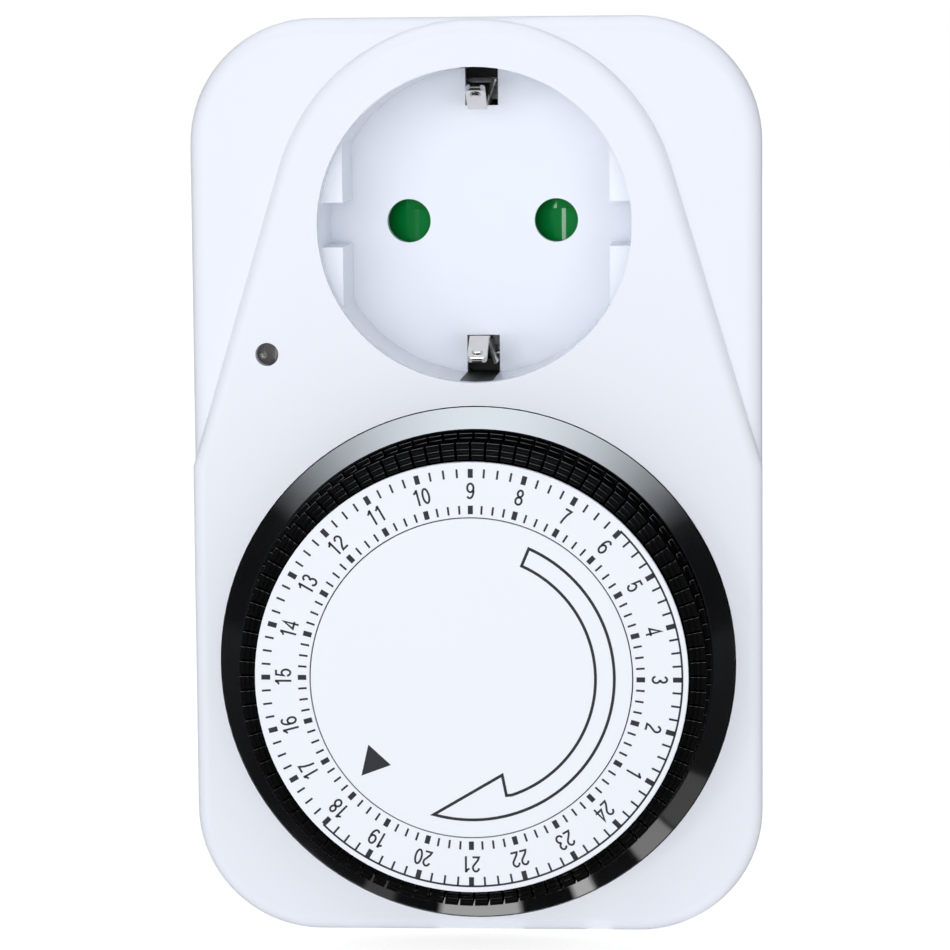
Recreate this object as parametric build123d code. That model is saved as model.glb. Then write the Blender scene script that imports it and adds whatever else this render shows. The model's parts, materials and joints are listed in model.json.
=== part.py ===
"""Plug in timer switch: a 24 hour mechanical timer with a side-earth outlet and plug.

Millimetres. +Z is up, the dial faces -Y and the plug's pins point along +Y. The origin is
the middle of the plug's end face, between the two pins. Outlet and plug share this axis.
Depths are given as y values: the front face is at y = FRONT, the back of the case at BACK.
"""

from build123d import *
import os
from math import acos, asin, atan2, cos, degrees, hypot, pi, radians, sin, sqrt, tan

# ---- case ----
CASE_WIDTH = 71.5
CASE_TOP = 25.8             # above the outlet's axis
CASE_BOTTOM = 89.2          # below the outlet's axis
CASE_CORNER = 15.6
CASE_DEPTH = 30.0
WALL = 2.0
FRONT_COVER_DEPTH = 17.0    # from the front face to the joint between the two covers
FRONT_EDGE = 1.8            # rounding of the front face's edge
BACK_EDGE = 2.5
JOINT_LIP = 1.4             # how far the rear cover's lip reaches into the front cover
LIP_THICKNESS = 0.95
FIT = 0.05                  # clearance between parts that locate each other
FREE = 0.3                  # clearance beside parts that move
BELL_RADIUS = 25.5          # raised field round the outlet
BELL_FOOT = -30.18          # height at which its straight sides meet the case's sides
BELL_HEIGHT = 1.6           # how far the two upper corners lie behind the front face
CORNER_EDGE = 2.2

# ---- plug ----
PIN_SPACING = 19.0
PIN_RADIUS = 2.4
PIN_LENGTH = 19.0
PIN_HEAD_RADIUS = 3.8
PIN_HEAD_THICKNESS = 1.5
PIN_COLLAR = 0.5            # how far the pin's collar in the plug's end wall stands out
PLUG_LENGTH = 18.0
PLUG_RADIUS = 18.3
PLUG_FLAT = 16.55           # half the width between the plug's flats
PLUG_KEY = 5.2              # width of the key rib on each flat
PLUG_END_WALL = 2.5
PLUG_HOLLOW = 15.5
PLUG_EDGE = 1.0
PLUG_NECK = 16.4            # radius of the neck that fills the hole in the case's back wall
PLUG_SIDE_WALL = 1.75

# ---- outlet ----
RECESS_RADIUS = 19.6
RECESS_DEPTH = 17.5
INSERT_WALL = 1.2
FLOOR_THICKNESS = 2.2
PIN_HOLE_RADIUS = 2.8
GUIDE_FLAT = 16.75          # half the width between the guide flats
GUIDE_SETBACK = 4.0         # from the rim to the front of the guides
KEYWAY = 5.6
EARTH_SLOT_WIDTH = 4.2
EARTH_SLOT_INNER = 14.75
EARTH_SLOT_FLARE = 0.75     # how much wider each side of the slot is at the rim
EARTH_SLOT_BEVEL = 0.3      # depth of that flare in the recess's wall
MOULD_MARK_DEPTH = 0.05

# ---- earth straps ----
STRAP_THICKNESS = 0.8
STRAP_WIDTH = 4.0
STRAP_HEIGHT = 16.9         # inner face of the strap, from the outlet's axis
CLIP_WIDTH = 2.45
CLIP_TIP_DEPTH = 4.2        # depth of the clip's tip, its crest and its root in the recess
CLIP_CREST_DEPTH = 9.0
CLIP_ROOT_DEPTH = 15.5
CLIP_CREST = 14.3
CLIP_TIP = 16.95
CLIP_CORNER = 0.95
CLIP_DIMPLE = 0.7           # radius of the raised dimple, its height and its place from the tip
CLIP_DIMPLE_RISE = 0.3
CLIP_DIMPLE_PLACE = 1.15
WING_THICKNESS = 0.35       # slanted wing beside the clip
WING_DEPTH = 12.5
WING_INNER = 15.0
WING_OUTER = 18.0

# ---- shutter and contacts ----
SHUTTER_HALF_HEIGHT = 4.3
SHUTTER_TRAVEL = 5.8
SHUTTER_PLATE = 1.0
SHUTTER_RISE = 2.1
CARRIER_THICKNESS = 1.8
CARRIER_RADIUS = 19.6
CONTACT_WALL = 0.6
CONTACT_BORE = 2.3
CONTACT_END = -9.5
STRIP_THICKNESS = 0.6
STRIP_WIDTH = 2.4

# ---- dial ----
DIAL_DROP = 54.9            # dial axis below the outlet's axis
WELL_RADIUS = 32.45
WELL_WALL = 1.35
WELL_DEPTH = 5.4
WELL_FLOOR = 1.6
SKIRT_RADIUS = 32.3
FLANK_TOP_RADIUS = 29.75
FLANK_HEIGHT = 1.95
DIAL_FOOT_DEPTH = 1.8       # the skirt's foot, below the front face
DIAL_HEIGHT = 12.3          # white disc above the front face
DISC_THICKNESS = 1.0
DISC_RADIUS = 26.6
DISC_EDGE = 0.2
CENTRE_DISC_RADIUS = 19.72
DISC_GAP = 0.14
DRUM_RADIUS = 26.5
DRUM_PLATE = 1.5
HUB_RADIUS = 8.2
HUB_POCKET_RADIUS = 6.7
HUB_TOP_BELOW_PLATE = 2.6
POST_RADIUS = 4.0
POST_BORE = 2.4
POST_SHOULDER = 6.0
POST_BELOW_DISC = 1.3
CENTRE_STUB_LENGTH = 6.0
RUNNING = 0.06
CLIP_RING_THICKNESS = 0.8
CLIP_RING_RADIUS = 6.4

# ---- tappets ----
TAPPET_COUNT = 96
TAPPETS_IN_GROUP = 8
TAPPET_TRAVEL = 3.0
TAPPET_GAP = 0.24
TAPPET_INNER = 26.75
TAPPET_OUTER = 28.8
TAPPET_HEIGHT = 10.2        # top of a tappet above the front face
LEDGE_OUTER = 29.4
LEDGE_HEIGHT = 3.9
LEDGE_THICKNESS = 1.1
SHANK_OUTER = 28.2
SHANK_WIDTH = 1.28
SHANK_END_DEPTH = 2.0       # lower end of a tappet, below the front face
GROOVE_RADIUS = 29.6        # outer wall of the ring groove that holds the tappets
GROOVE_DEPTH = 0.3          # groove's bottom, below the front face
RIDGE_PITCH = 0.7
RIDGE_GROOVE = 0.26

# ---- gears ----
PRESSURE_ANGLE = radians(25)
RING_MODULE = 0.8
RING_TEETH = 60
IDLER_PINION_TEETH = 12
TRAIN_MODULE = 0.5
IDLER_WHEEL_TEETH = 36
MOTOR_PINION_TEETH = 12
RING_FACE = 5.0
BACKLASH = 0.12
IDLER_DIRECTION = 45.0      # degrees, from the dial's axis to the idler's
AXLE_RADIUS = 1.0
GEAR_LAYER = 2.8            # between the well's floor and the movement plate
IDLER_WHEEL_THICKNESS = 1.5
IDLER_PINION_REACH = 3.3    # above the dial's foot

# ---- movement ----
PLATE_THICKNESS = 1.8
PLATE_LEFT, PLATE_RIGHT = -26.8, 26.7
PLATE_TOP, PLATE_BOTTOM = -29.5, -79.3
PLATE_CORNER = 2.0
MOTOR_X, MOTOR_Z = 8.0, -58.0
MOTOR_RADIUS = 17.0
MOTOR_DEPTH = 14.0
MOTOR_WALL = 0.8
MOTOR_LID = 1.2
MOTOR_EAR_REACH = 19.6
MOTOR_EAR_DIRECTION = 115.0
MOTOR_EAR_WIDTH = 5.2
PLATE_SCREW_LEFT_X, PLATE_SCREW_LEFT_Z = -16.0, -35.0
PLATE_SCREW_RIGHT_X, PLATE_SCREW_RIGHT_Z = 23.0, -33.0
PLATE_SCREW_REACH = 22.0    # the third plate screw stands beside the motor's lower ear
PLATE_SCREW_TURN = 14.5     # degrees past that ear
COIL_INNER, COIL_OUTER = 10.2, 15.2

# ---- follower and microswitch ----
FOLLOWER_DIRECTION = 221.0  # degrees, from the dial's axis, under the time mark
LEVER_PIVOT_Z = -60.0
LEVER_THICKNESS = 1.6
LEVER_WIDTH = 4.2
LEVER_SWING = 12.5          # degrees
LEVER_PIN_RADIUS = 1.0
FINGER_WIDTH = 2.2
FINGER_HEIGHT = 2.6
SWITCH_WIDTH = 6.4
SWITCH_LENGTH = 16.4
SWITCH_DEPTH = 10.2
SWITCH_TO_BACK = 1.3
SWITCH_RISE = 4.0           # top of the switch above the lever's pivot
SWITCH_CASE_WALL = 1.2
PLUNGER_RADIUS = 1.0
PLUNGER_ARM = 4.5           # from the lever's pivot to the plunger
PLUNGER_PROUD = 3.4

# ---- lamp ----
LAMP_CLEAR = 5.4            # from the raised field's side, at the lamp's height
LAMP_Z = -15.95
LAMP_HOLE_RADIUS = 1.45
LAMP_RADIUS = 1.95
LAMP_LENGTH = 9.0
LAMP_LEAD = 0.8             # half the distance between the lamp's two wires
RESISTOR_RADIUS = 1.2
RESISTOR_LENGTH = 6.4
RESISTOR_DROP = 9.0         # middle of the resistor below the lamp
RESISTOR_BEHIND = 8.0       # and behind the lamp's end

# ---- wiring ----
WIRE_RADIUS = 0.3
WIRE_DROP = 3.0             # straight wire below the resistor
WIRE_CLEARANCE = 1.7        # neutral wire of the lamp, in front of the strips
WIRE_BELOW = 3.6            # and below the outlet
LEAD_RADIUS = 0.5
LEAD_BEND = 2.0
LEAD_EXIT = 4.6             # where the motor's leads leave the can, from its back
LEAD_RISE = 8.0
NEUTRAL_LEAD_X, LIVE_LEAD_X = 1.0, -3.0     # from the motor's axis
STRIP_FOOT = 3.0            # width of the feet on the pins' heads
STRIP_TURN = 9.5            # how far below the outlet's axis the live feed turns down
STRIP_LEAN = 3.0
JOG_TOP, JOG_BOTTOM = -30.0, -34.0          # where the switched strip changes its depth
LIVE_OUT_X, LIVE_IN_X = -14.6, -11.5        # the two live strips run down side by side
TERMINAL_SPACING = 3.0
TERMINAL_REACH = 4.0

# ---- override slider ----
SLIDER_Z = -50.0
SLIDER_TRAVEL = 4.0
KNOB_HEIGHT = 6.0
KNOB_WIDTH = 4.0
KNOB_RECESS = 0.3           # knob's face, below the face of the side wall
SLIDER_THICKNESS = 1.2
SLIDER_FLANGE = 1.5         # how far the slider reaches past its knob, to each side
RAIL_THICKNESS = 0.8
SLIDER_DEPTH = 11.0         # middle of the slider, behind the front face

# ---- screws ----
CASE_SCREW_INSET = 8.25     # from the case's sides, top and bottom
CASE_SCREW_RADIUS = 1.25
CASE_SCREW_HEAD = 2.7
CASE_SCREW_HEAD_HEIGHT = 2.0
CASE_SCREW_LENGTH = 16.0
CASE_BOSS = 3.0
SMALL_SCREW_RADIUS = 0.9
SMALL_SCREW_HEAD = 1.9
SMALL_SCREW_HEAD_HEIGHT = 1.2
SMALL_BOSS = 2.4

# ---- planes worked out from the sizes above ----
BACK = -PLUG_LENGTH
FRONT = BACK - CASE_DEPTH
JOINT = FRONT + FRONT_COVER_DEPTH
FACE_INNER = FRONT + WALL
BACK_INNER = BACK - WALL
RECESS_FLOOR = FRONT + RECESS_DEPTH
FLOOR_BACK = RECESS_FLOOR + FLOOR_THICKNESS
CORNER_FACE = FRONT + BELL_HEIGHT
HALF_WIDTH = CASE_WIDTH / 2
CASE_SCREW_X = HALF_WIDTH - CASE_SCREW_INSET
CASE_SCREW_TOP = CASE_TOP - CASE_SCREW_INSET
CASE_SCREW_BOTTOM = -CASE_BOTTOM + CASE_SCREW_INSET
BELL_FLARE = acos(BELL_RADIUS / hypot(HALF_WIDTH, BELL_FOOT)) + atan2(BELL_FOOT, HALF_WIDTH)
LAMP_X = LAMP_CLEAR - HALF_WIDTH + (LAMP_Z - BELL_FOOT) * tan(BELL_FLARE)
LAMP_BACK = FACE_INNER + LAMP_LENGTH
CASE_MIDDLE = (CASE_TOP - CASE_BOTTOM) / 2
INSERT_RADIUS = RECESS_RADIUS + INSERT_WALL
DIAL_Z = -DIAL_DROP
DISC_FRONT = FRONT - DIAL_HEIGHT
DISC_BACK = DISC_FRONT + DISC_THICKNESS
WELL_FLOOR_TOP = FRONT + WELL_DEPTH
WELL_FLOOR_BACK = WELL_FLOOR_TOP + WELL_FLOOR
DIAL_FOOT = FRONT + DIAL_FOOT_DEPTH
GROOVE_BOTTOM = FRONT + GROOVE_DEPTH
SHOULDER_FRONT = DIAL_FOOT - 0.2        # the dial's hub turns on this shoulder of the post
PLATE_FRONT = WELL_FLOOR_BACK + GEAR_LAYER
PLATE_BACK = PLATE_FRONT + PLATE_THICKNESS
MOTOR_BACK = PLATE_BACK + MOTOR_DEPTH
CARRIER_FRONT = FLOOR_BACK + SHUTTER_PLATE + SHUTTER_RISE + 0.2
CARRIER_BACK = CARRIER_FRONT + CARRIER_THICKNESS
STRIP_BACK = BACK_INNER - 0.5
STRIP_FRONT = STRIP_BACK - STRIP_WIDTH
PIN_X = PIN_SPACING / 2
PIN_HEAD_BACK = -PLUG_END_WALL - PIN_HEAD_THICKNESS
SEAT = 0.1                  # gap between two parts stacked in depth

RING_RADIUS = RING_MODULE * RING_TEETH / 2
IDLER_PINION_RADIUS = RING_MODULE * IDLER_PINION_TEETH / 2
IDLER_OFFSET = RING_RADIUS - IDLER_PINION_RADIUS
IDLER_X = IDLER_OFFSET * cos(radians(IDLER_DIRECTION))
IDLER_Z = DIAL_Z + IDLER_OFFSET * sin(radians(IDLER_DIRECTION))
TRAIN_OFFSET = TRAIN_MODULE * (IDLER_WHEEL_TEETH + MOTOR_PINION_TEETH) / 2
OUTPUT_X = IDLER_X - TRAIN_OFFSET * cos(radians(IDLER_DIRECTION))
OUTPUT_Z = IDLER_Z - TRAIN_OFFSET * sin(radians(IDLER_DIRECTION))

TAPPET_TRACK = (TAPPET_INNER + SHANK_OUTER) / 2
FINGER_X = TAPPET_TRACK * cos(radians(FOLLOWER_DIRECTION))
FINGER_Z = DIAL_Z + TAPPET_TRACK * sin(radians(FOLLOWER_DIRECTION))
PIVOT_Y = (PLATE_FRONT + PLATE_BACK) / 2
LEVER_FRONT = PIVOT_Y - LEVER_THICKNESS / 2
LEVER_BACK = PIVOT_Y + LEVER_THICKNESS / 2
SHANK_END = FRONT + SHANK_END_DEPTH
FINGER_TIP = SHANK_END + 0.15
SWITCH_BACK = BACK_INNER - SWITCH_TO_BACK
SWITCH_FRONT = SWITCH_BACK - SWITCH_DEPTH
SWITCH_TOP = LEVER_PIVOT_Z + SWITCH_RISE
SWITCH_BOTTOM = SWITCH_TOP - SWITCH_LENGTH
PLUNGER_Z = LEVER_PIVOT_Z - PLUNGER_ARM
PLUNGER_TIP = SWITCH_FRONT - PLUNGER_PROUD
SLIDER_Y = FRONT + SLIDER_DEPTH


# ---- helpers ----
def facing_front(y):
    """Plane at depth y, seen from the front: local x is X, local y is Z."""
    return Plane(origin=(0, y, 0), x_dir=(1, 0, 0), z_dir=(0, -1, 0))


def slab(profile, y_front, y_back):
    """A flat profile in X and Z, made solid between two depths."""
    return extrude(facing_front(y_back) * profile, amount=y_back - y_front)


def disc(x, z, radius, y_front, y_back):
    return slab(Pos(x, z) * Circle(radius), y_front, y_back)


def tube(x, z, outer, inner, y_front, y_back):
    return slab(Pos(x, z) * (Circle(outer) - Circle(inner)), y_front, y_back)


def block(x0, x1, y0, y1, z0, z1):
    """A box between two corners."""
    middle = ((x0 + x1) / 2, (y0 + y1) / 2, (z0 + z1) / 2)
    return Pos(*middle) * Box(x1 - x0, y1 - y0, z1 - z0)


def edges_at_depth(solid, y):
    return solid.edges().filter_by_position(Axis.Y, y - 0.01, y + 0.01)


def around_dial(radius, angle):
    """A point of X and Z at an angle round the dial's axis, from +X towards +Z."""
    return radius * cos(radians(angle)), DIAL_Z + radius * sin(radians(angle))


def outline(inset=0.0):
    """The case's outline, moved inwards by inset."""
    return Pos(0, CASE_MIDDLE) * RectangleRounded(
        CASE_WIDTH - 2 * inset,
        CASE_TOP + CASE_BOTTOM - 2 * inset,
        CASE_CORNER - inset,
    )


def bell(inset=0.0):
    """The raised field: a circle round the outlet with flared sides, down to the bottom."""
    radius = BELL_RADIUS - inset
    touch_x, touch_z = radius * cos(BELL_FLARE), radius * sin(BELL_FLARE)
    side = CASE_WIDTH
    drop = (side - touch_x) / tan(BELL_FLARE)
    field = Polygon(
        (touch_x, touch_z),
        (-touch_x, touch_z),
        (-side, touch_z - drop),
        (side, touch_z - drop),
        align=None,
    )
    return (Circle(radius) + field) & outline(inset)


def bar_path(points, thickness):
    """A flat strip's profile: straight legs of one thickness, joined at their points."""
    profile = Sketch()
    for (x0, z0), (x1, z1) in zip(points, points[1:]):
        length = hypot(x1 - x0, z1 - z0)
        turn = degrees(atan2(z1 - z0, x1 - x0))
        leg = SlotCenterToCenter(length, thickness, rotation=turn)
        profile += Pos((x0 + x1) / 2, (z0 + z1) / 2) * leg
    return profile


def wire(points, radius, bend):
    """A round wire through points, with one bend radius."""
    path = FilletPolyline(*points, radius=bend)
    return sweep(Plane(origin=path @ 0, z_dir=path % 0) * Circle(radius), path=path)


def coil_spring(mean_radius, wire_radius, length, turns):
    """A helical spring along +Z that starts at the origin's plane."""
    height = length - 2 * wire_radius
    path = Pos(0, 0, wire_radius) * Helix(height / turns, height, mean_radius)
    section = Plane(origin=path @ 0, z_dir=path % 0) * Circle(wire_radius)
    return sweep(section, path=path, is_frenet=True)


def involute(angle):
    return tan(angle) - angle


def gear(teeth, module, tip, root, widen, turn):
    """A gear's profile. widen is added to the tooth's thickness; a tooth points at turn."""
    pitch = module * teeth / 2
    base = pitch * cos(PRESSURE_ANGLE)
    half_at_pitch = pi / (2 * teeth) + widen / (2 * pitch)
    steps = 5
    flank = []
    for i in range(steps):
        radius = root + (tip - root) * i / (steps - 1)
        roll = acos(min(1.0, base / radius))
        half = half_at_pitch + involute(PRESSURE_ANGLE) - involute(roll)
        flank.append((radius, half))
    points = []
    for tooth in range(teeth):
        middle = radians(turn) + 2 * pi * tooth / teeth
        rising = [(r, middle - half) for r, half in flank]
        falling = [(r, middle + half) for r, half in reversed(flank)]
        points += [(r * cos(a), r * sin(a)) for r, a in rising + falling]
    return Polygon(*points, align=None)


def screw(x, z, radius, head, head_height, y_head, length):
    """A screw along -Y: its head's seat is at y_head, with a cross recess behind."""
    solid = disc(x, z, radius, y_head - length, y_head)
    solid += disc(x, z, head, y_head, y_head + head_height)
    slot, arm, deep = head * 0.28, head * 1.3, head_height * 0.55
    cross = Rectangle(arm, slot) + Rectangle(slot, arm)
    return solid - slab(Pos(x, z) * cross, y_head + head_height - deep, y_head + head_height)


# ---- case ----
CASE_SCREWS = [
    (side * CASE_SCREW_X, z) for side in (-1, 1) for z in (CASE_SCREW_TOP, CASE_SCREW_BOTTOM)
]
REAR_BOSS_END = BACK - 7.0      # where the rear cover's screw bosses meet the front cover's
SCREW_SEAT = BACK - 4.0


def motor_place(reach, direction):
    """A point of X and Z round the motor's axis, at a direction in degrees."""
    turn = radians(direction)
    return MOTOR_X + reach * cos(turn), MOTOR_Z + reach * sin(turn)


MOTOR_EARS = [
    motor_place(MOTOR_EAR_REACH, MOTOR_EAR_DIRECTION + half_turn) for half_turn in (0, 180)
]
PLATE_SCREWS = [
    (PLATE_SCREW_RIGHT_X, PLATE_SCREW_RIGHT_Z),
    (PLATE_SCREW_LEFT_X, PLATE_SCREW_LEFT_Z),
    motor_place(PLATE_SCREW_REACH, MOTOR_EAR_DIRECTION + 180 + PLATE_SCREW_TURN),
]


def override_slot():
    """Slot in the left wall for the slider's knob."""
    low = SLIDER_Z - KNOB_HEIGHT / 2 - SLIDER_TRAVEL - FREE
    high = SLIDER_Z + KNOB_HEIGHT / 2 + FREE
    half = KNOB_WIDTH / 2 + FREE / 2
    return block(-CASE_WIDTH, -HALF_WIDTH + WALL, SLIDER_Y - half, SLIDER_Y + half, low, high)


def slider_rails():
    """Two hooked rails that hold the slider against the left wall."""
    inner = -HALF_WIDTH + WALL
    half = KNOB_WIDTH / 2 + SLIDER_FLANGE
    top = SLIDER_Z + KNOB_HEIGHT / 2 + 1.0
    bottom = SLIDER_Z - KNOB_HEIGHT / 2 - SLIDER_TRAVEL - 1.0
    depth = inner + SLIDER_THICKNESS + FREE
    rails = Part()
    for side in (-1, 1):
        near = SLIDER_Y + side * (half + FREE / 2)
        far = near + side * RAIL_THICKNESS
        hook = near - side
        y0, y1 = sorted((near, far))
        rails += block(inner - 0.5, depth + RAIL_THICKNESS, y0, y1, bottom, top)
        y0, y1 = sorted((hook, far))
        rails += block(depth, depth + RAIL_THICKNESS, y0, y1, bottom, top)
    return rails


def finger_window():
    """Where the follower's finger comes through the floor of the dial's well."""
    swing = (PIVOT_Y - FINGER_TIP) * sin(radians(LEVER_SWING))
    half_x = FINGER_WIDTH / 2 + FREE
    low = FINGER_Z - FINGER_HEIGHT / 2 - swing - FREE
    high = FINGER_Z + FINGER_HEIGHT / 2 + FREE
    left, right = FINGER_X - half_x, FINGER_X + half_x
    return block(left, right, WELL_FLOOR_TOP - 1, WELL_FLOOR_BACK + 1, low, high)


def front_cover():
    """White front shell, with the dial's well and its fixed post."""
    opening = (
        Circle(RECESS_RADIUS)
        + Pos(0, DIAL_Z) * Circle(WELL_RADIUS)
        + Pos(LAMP_X, LAMP_Z) * Circle(LAMP_HOLE_RADIUS)
    )
    corners = slab(outline(), CORNER_FACE, JOINT)
    corners = fillet(edges_at_depth(corners, CORNER_FACE), CORNER_EDGE)
    field = slab(bell(), FRONT, CORNER_FACE + CORNER_EDGE + 1)
    field = fillet(edges_at_depth(field, FRONT), FRONT_EDGE)
    cover = corners + field
    cover -= slab(outline(WALL), CORNER_FACE + WALL, JOINT)
    cover -= slab(bell(WALL), FACE_INNER, CORNER_FACE + WALL)
    cover -= slab(outline(WALL - LIP_THICKNESS - FIT), JOINT - JOINT_LIP - FIT, JOINT)
    cover += disc(0, DIAL_Z, WELL_RADIUS + WELL_WALL, FACE_INNER - 0.5, WELL_FLOOR_BACK)
    cover -= disc(0, DIAL_Z, WELL_RADIUS, FRONT, WELL_FLOOR_TOP)
    cover -= slab(opening, FRONT, FACE_INNER)
    cover += disc(0, DIAL_Z, POST_RADIUS, DISC_BACK + POST_BELOW_DISC, WELL_FLOOR_BACK)
    cover += disc(0, DIAL_Z, POST_SHOULDER, SHOULDER_FRONT, WELL_FLOOR_BACK)
    cover -= disc(0, DIAL_Z, POST_BORE, DISC_FRONT, DISC_BACK + CENTRE_STUB_LENGTH + 1)
    pinion_tip = IDLER_PINION_RADIUS + RING_MODULE
    cover -= disc(IDLER_X, IDLER_Z, pinion_tip + FREE, WELL_FLOOR_TOP, WELL_FLOOR_BACK)
    cover -= finger_window()
    for x, z in CASE_SCREWS:
        start = (CORNER_FACE if z > 0 else FRONT) + WALL - 0.5
        cover += disc(x, z, CASE_BOSS, start, REAR_BOSS_END - SEAT)
        cover -= disc(x, z, CASE_SCREW_RADIUS, SCREW_SEAT - CASE_SCREW_LENGTH - 1, REAR_BOSS_END)
    for x, z in PLATE_SCREWS:
        cover += disc(x, z, SMALL_BOSS, WELL_FLOOR_BACK - 0.5, PLATE_FRONT)
        cover -= disc(x, z, SMALL_SCREW_RADIUS, WELL_FLOOR_BACK - 0.3, PLATE_FRONT)
    cover += tube(LAMP_X, LAMP_Z, LAMP_RADIUS + 1, LAMP_RADIUS + FIT, FACE_INNER - 0.3, FACE_INNER + 5)
    cover -= override_slot()
    cover += slider_rails()
    return cover


def plug_profile(radius, flat):
    """The plug's section: a circle with two flats, each with a key rib in its middle."""
    ribs = Rectangle(2 * radius, PLUG_KEY)
    return Circle(radius) & (Rectangle(2 * flat, 2 * radius) + ribs)


def plug_opening():
    """Hole in the back wall for the plug body's neck, with a notch for each earth strap."""
    notches = Rectangle(STRAP_WIDTH + 2 * FIT, 2 * (STRAP_HEIGHT + STRAP_THICKNESS + FIT))
    return Circle(PLUG_NECK + FIT) + notches


def rear_cover():
    """White rear shell, open in the middle for the plug body."""
    shell = slab(outline(), JOINT, BACK)
    shell = fillet(edges_at_depth(shell, BACK), BACK_EDGE)
    shell -= slab(outline(WALL), JOINT, BACK_INNER)
    lip = outline(WALL - LIP_THICKNESS) - outline(WALL)
    shell += slab(lip, JOINT - JOINT_LIP, JOINT + 0.6)
    shell -= slab(plug_opening(), BACK_INNER, BACK)
    for x, z in CASE_SCREWS:
        boss = disc(x, z, CASE_SCREW_HEAD + 1.4, REAR_BOSS_END, BACK_INNER + 0.5)
        shell += boss & slab(outline(0.5), REAR_BOSS_END, BACK)
        shell -= disc(x, z, CASE_SCREW_HEAD + 0.15, SCREW_SEAT, BACK)
        shell -= disc(x, z, CASE_SCREW_RADIUS + 0.3, REAR_BOSS_END, SCREW_SEAT)
    return shell


def plug_body():
    """Hollow white plug block: flats, key ribs, earth grooves and the neck."""
    body = slab(plug_profile(PLUG_RADIUS, PLUG_FLAT), BACK, 0)
    body = fillet(edges_at_depth(body, 0), PLUG_EDGE)
    body += disc(0, 0, PLUG_NECK, BACK_INNER, BACK)
    hollow = Circle(PLUG_HOLLOW) & Rectangle(2 * (PLUG_FLAT - PLUG_SIDE_WALL), 2 * PLUG_HOLLOW)
    body -= slab(hollow, BACK_INNER, -PLUG_END_WALL)
    half = STRAP_WIDTH / 2 + FIT
    for side in (-1, 1):
        body -= disc(side * PIN_X, 0, PIN_RADIUS + PIN_COLLAR + FIT, -PLUG_END_WALL, 0)
        z0, z1 = sorted((side * (STRAP_HEIGHT - FIT), side * (PLUG_RADIUS + 1)))
        body -= block(-half, half, BACK, -1.5, z0, z1)
        rivet = Plane(origin=(0, BRIDGE_Y, side * (PLUG_HOLLOW - 1)), z_dir=(0, 0, side))
        body -= extrude(rivet * Circle(RIVET_RADIUS), amount=3)
    return body


def case_screws():
    """Four screws from the back, two above and two below."""
    group = Part()
    for x, z in CASE_SCREWS:
        group += screw(
            x, z, CASE_SCREW_RADIUS, CASE_SCREW_HEAD, CASE_SCREW_HEAD_HEIGHT,
            SCREW_SEAT, CASE_SCREW_LENGTH,
        )
    return group


# ---- plug ----
def plug_pin(side):
    """A solid round pin: rounded tip, collar in the plug's end wall and a head inside it."""
    pin = disc(side * PIN_X, 0, PIN_RADIUS, -PLUG_END_WALL, PIN_LENGTH)
    pin = fillet(edges_at_depth(pin, PIN_LENGTH), PIN_RADIUS * 0.85)
    pin += disc(side * PIN_X, 0, PIN_RADIUS + PIN_COLLAR, -PLUG_END_WALL, 0)
    return pin + disc(side * PIN_X, 0, PIN_HEAD_RADIUS, PIN_HEAD_BACK, -PLUG_END_WALL)


# ---- outlet ----
def socket_insert():
    """White outlet cup: wall, floor with pin holes, guide flats and earth slots."""
    skirt_wall = 1.0
    cup = tube(0, 0, INSERT_RADIUS, RECESS_RADIUS, FACE_INNER, FLOOR_BACK)
    cup += disc(0, 0, RECESS_RADIUS + 0.5, RECESS_FLOOR, FLOOR_BACK)
    cup += tube(0, 0, INSERT_RADIUS, INSERT_RADIUS - skirt_wall, RECESS_FLOOR, BACK_INNER - SEAT)
    beside = Circle(RECESS_RADIUS + 0.3) - Rectangle(2 * GUIDE_FLAT, 2 * INSERT_RADIUS)
    guides = beside - Rectangle(2 * INSERT_RADIUS, KEYWAY)
    cup += slab(guides, FRONT + GUIDE_SETBACK, RECESS_FLOOR + 0.5)
    for side in (-1, 1):
        cup -= disc(side * PIN_X, 0, PIN_HOLE_RADIUS, RECESS_FLOOR, FLOOR_BACK)
        cup -= earth_slot(side)
    for z, radius in ((0, 3.65), (-9.0, 2.55)):
        ring = Pos(0, z) * (Circle(radius + 0.08) - Circle(radius - 0.08))
        cup -= slab(ring, RECESS_FLOOR, RECESS_FLOOR + MOULD_MARK_DEPTH)
    return cup - wiring_notches()


def earth_slot(side):
    """Slot for one earth clip, open through the recess's wall and flared towards the rim."""
    half = EARTH_SLOT_WIDTH / 2
    z0, z1 = sorted((side * EARTH_SLOT_INNER, side * (INSERT_RADIUS + 0.5)))
    slot = block(-half, half, FACE_INNER, FLOOR_BACK, z0, z1)
    z0, z1 = sorted((side * (RECESS_RADIUS - 0.8), side * (INSERT_RADIUS + 0.5)))
    slot += block(-half, half, FLOOR_BACK - 0.5, BACK_INNER, z0, z1)
    wide = half + EARTH_SLOT_FLARE
    flare = Polygon(
        (-half, RECESS_FLOOR), (half, RECESS_FLOOR), (wide, FACE_INNER), (-wide, FACE_INNER),
        align=None,
    )
    z0, z1 = sorted((side * (RECESS_RADIUS - 0.8), side * (RECESS_RADIUS + EARTH_SLOT_BEVEL)))
    return slot + extrude(Pos(0, 0, z0) * flare, amount=z1 - z0)


def wiring_notches():
    """Gaps at the lower edge of the outlet's skirt, for the strips and the motor lead."""
    low, high = -INSERT_RADIUS - 1, -9.0
    back = BACK_INNER
    left = block(LIVE_OUT_X - 1.2, LIVE_IN_X + 1.2, STRIP_FRONT - 0.4, back, low, high)
    right = block(PIN_X - 1.2, PIN_X + 1.2, STRIP_FRONT - 0.4, back, low, high)
    return left + right


SPRING_Z = -7.2             # height of the shutter's spring
TAB_X = -7.0                # tab on the shutter that the spring pushes
TAB_WIDTH = 1.6
SPRING_STOP = 6.8


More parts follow.
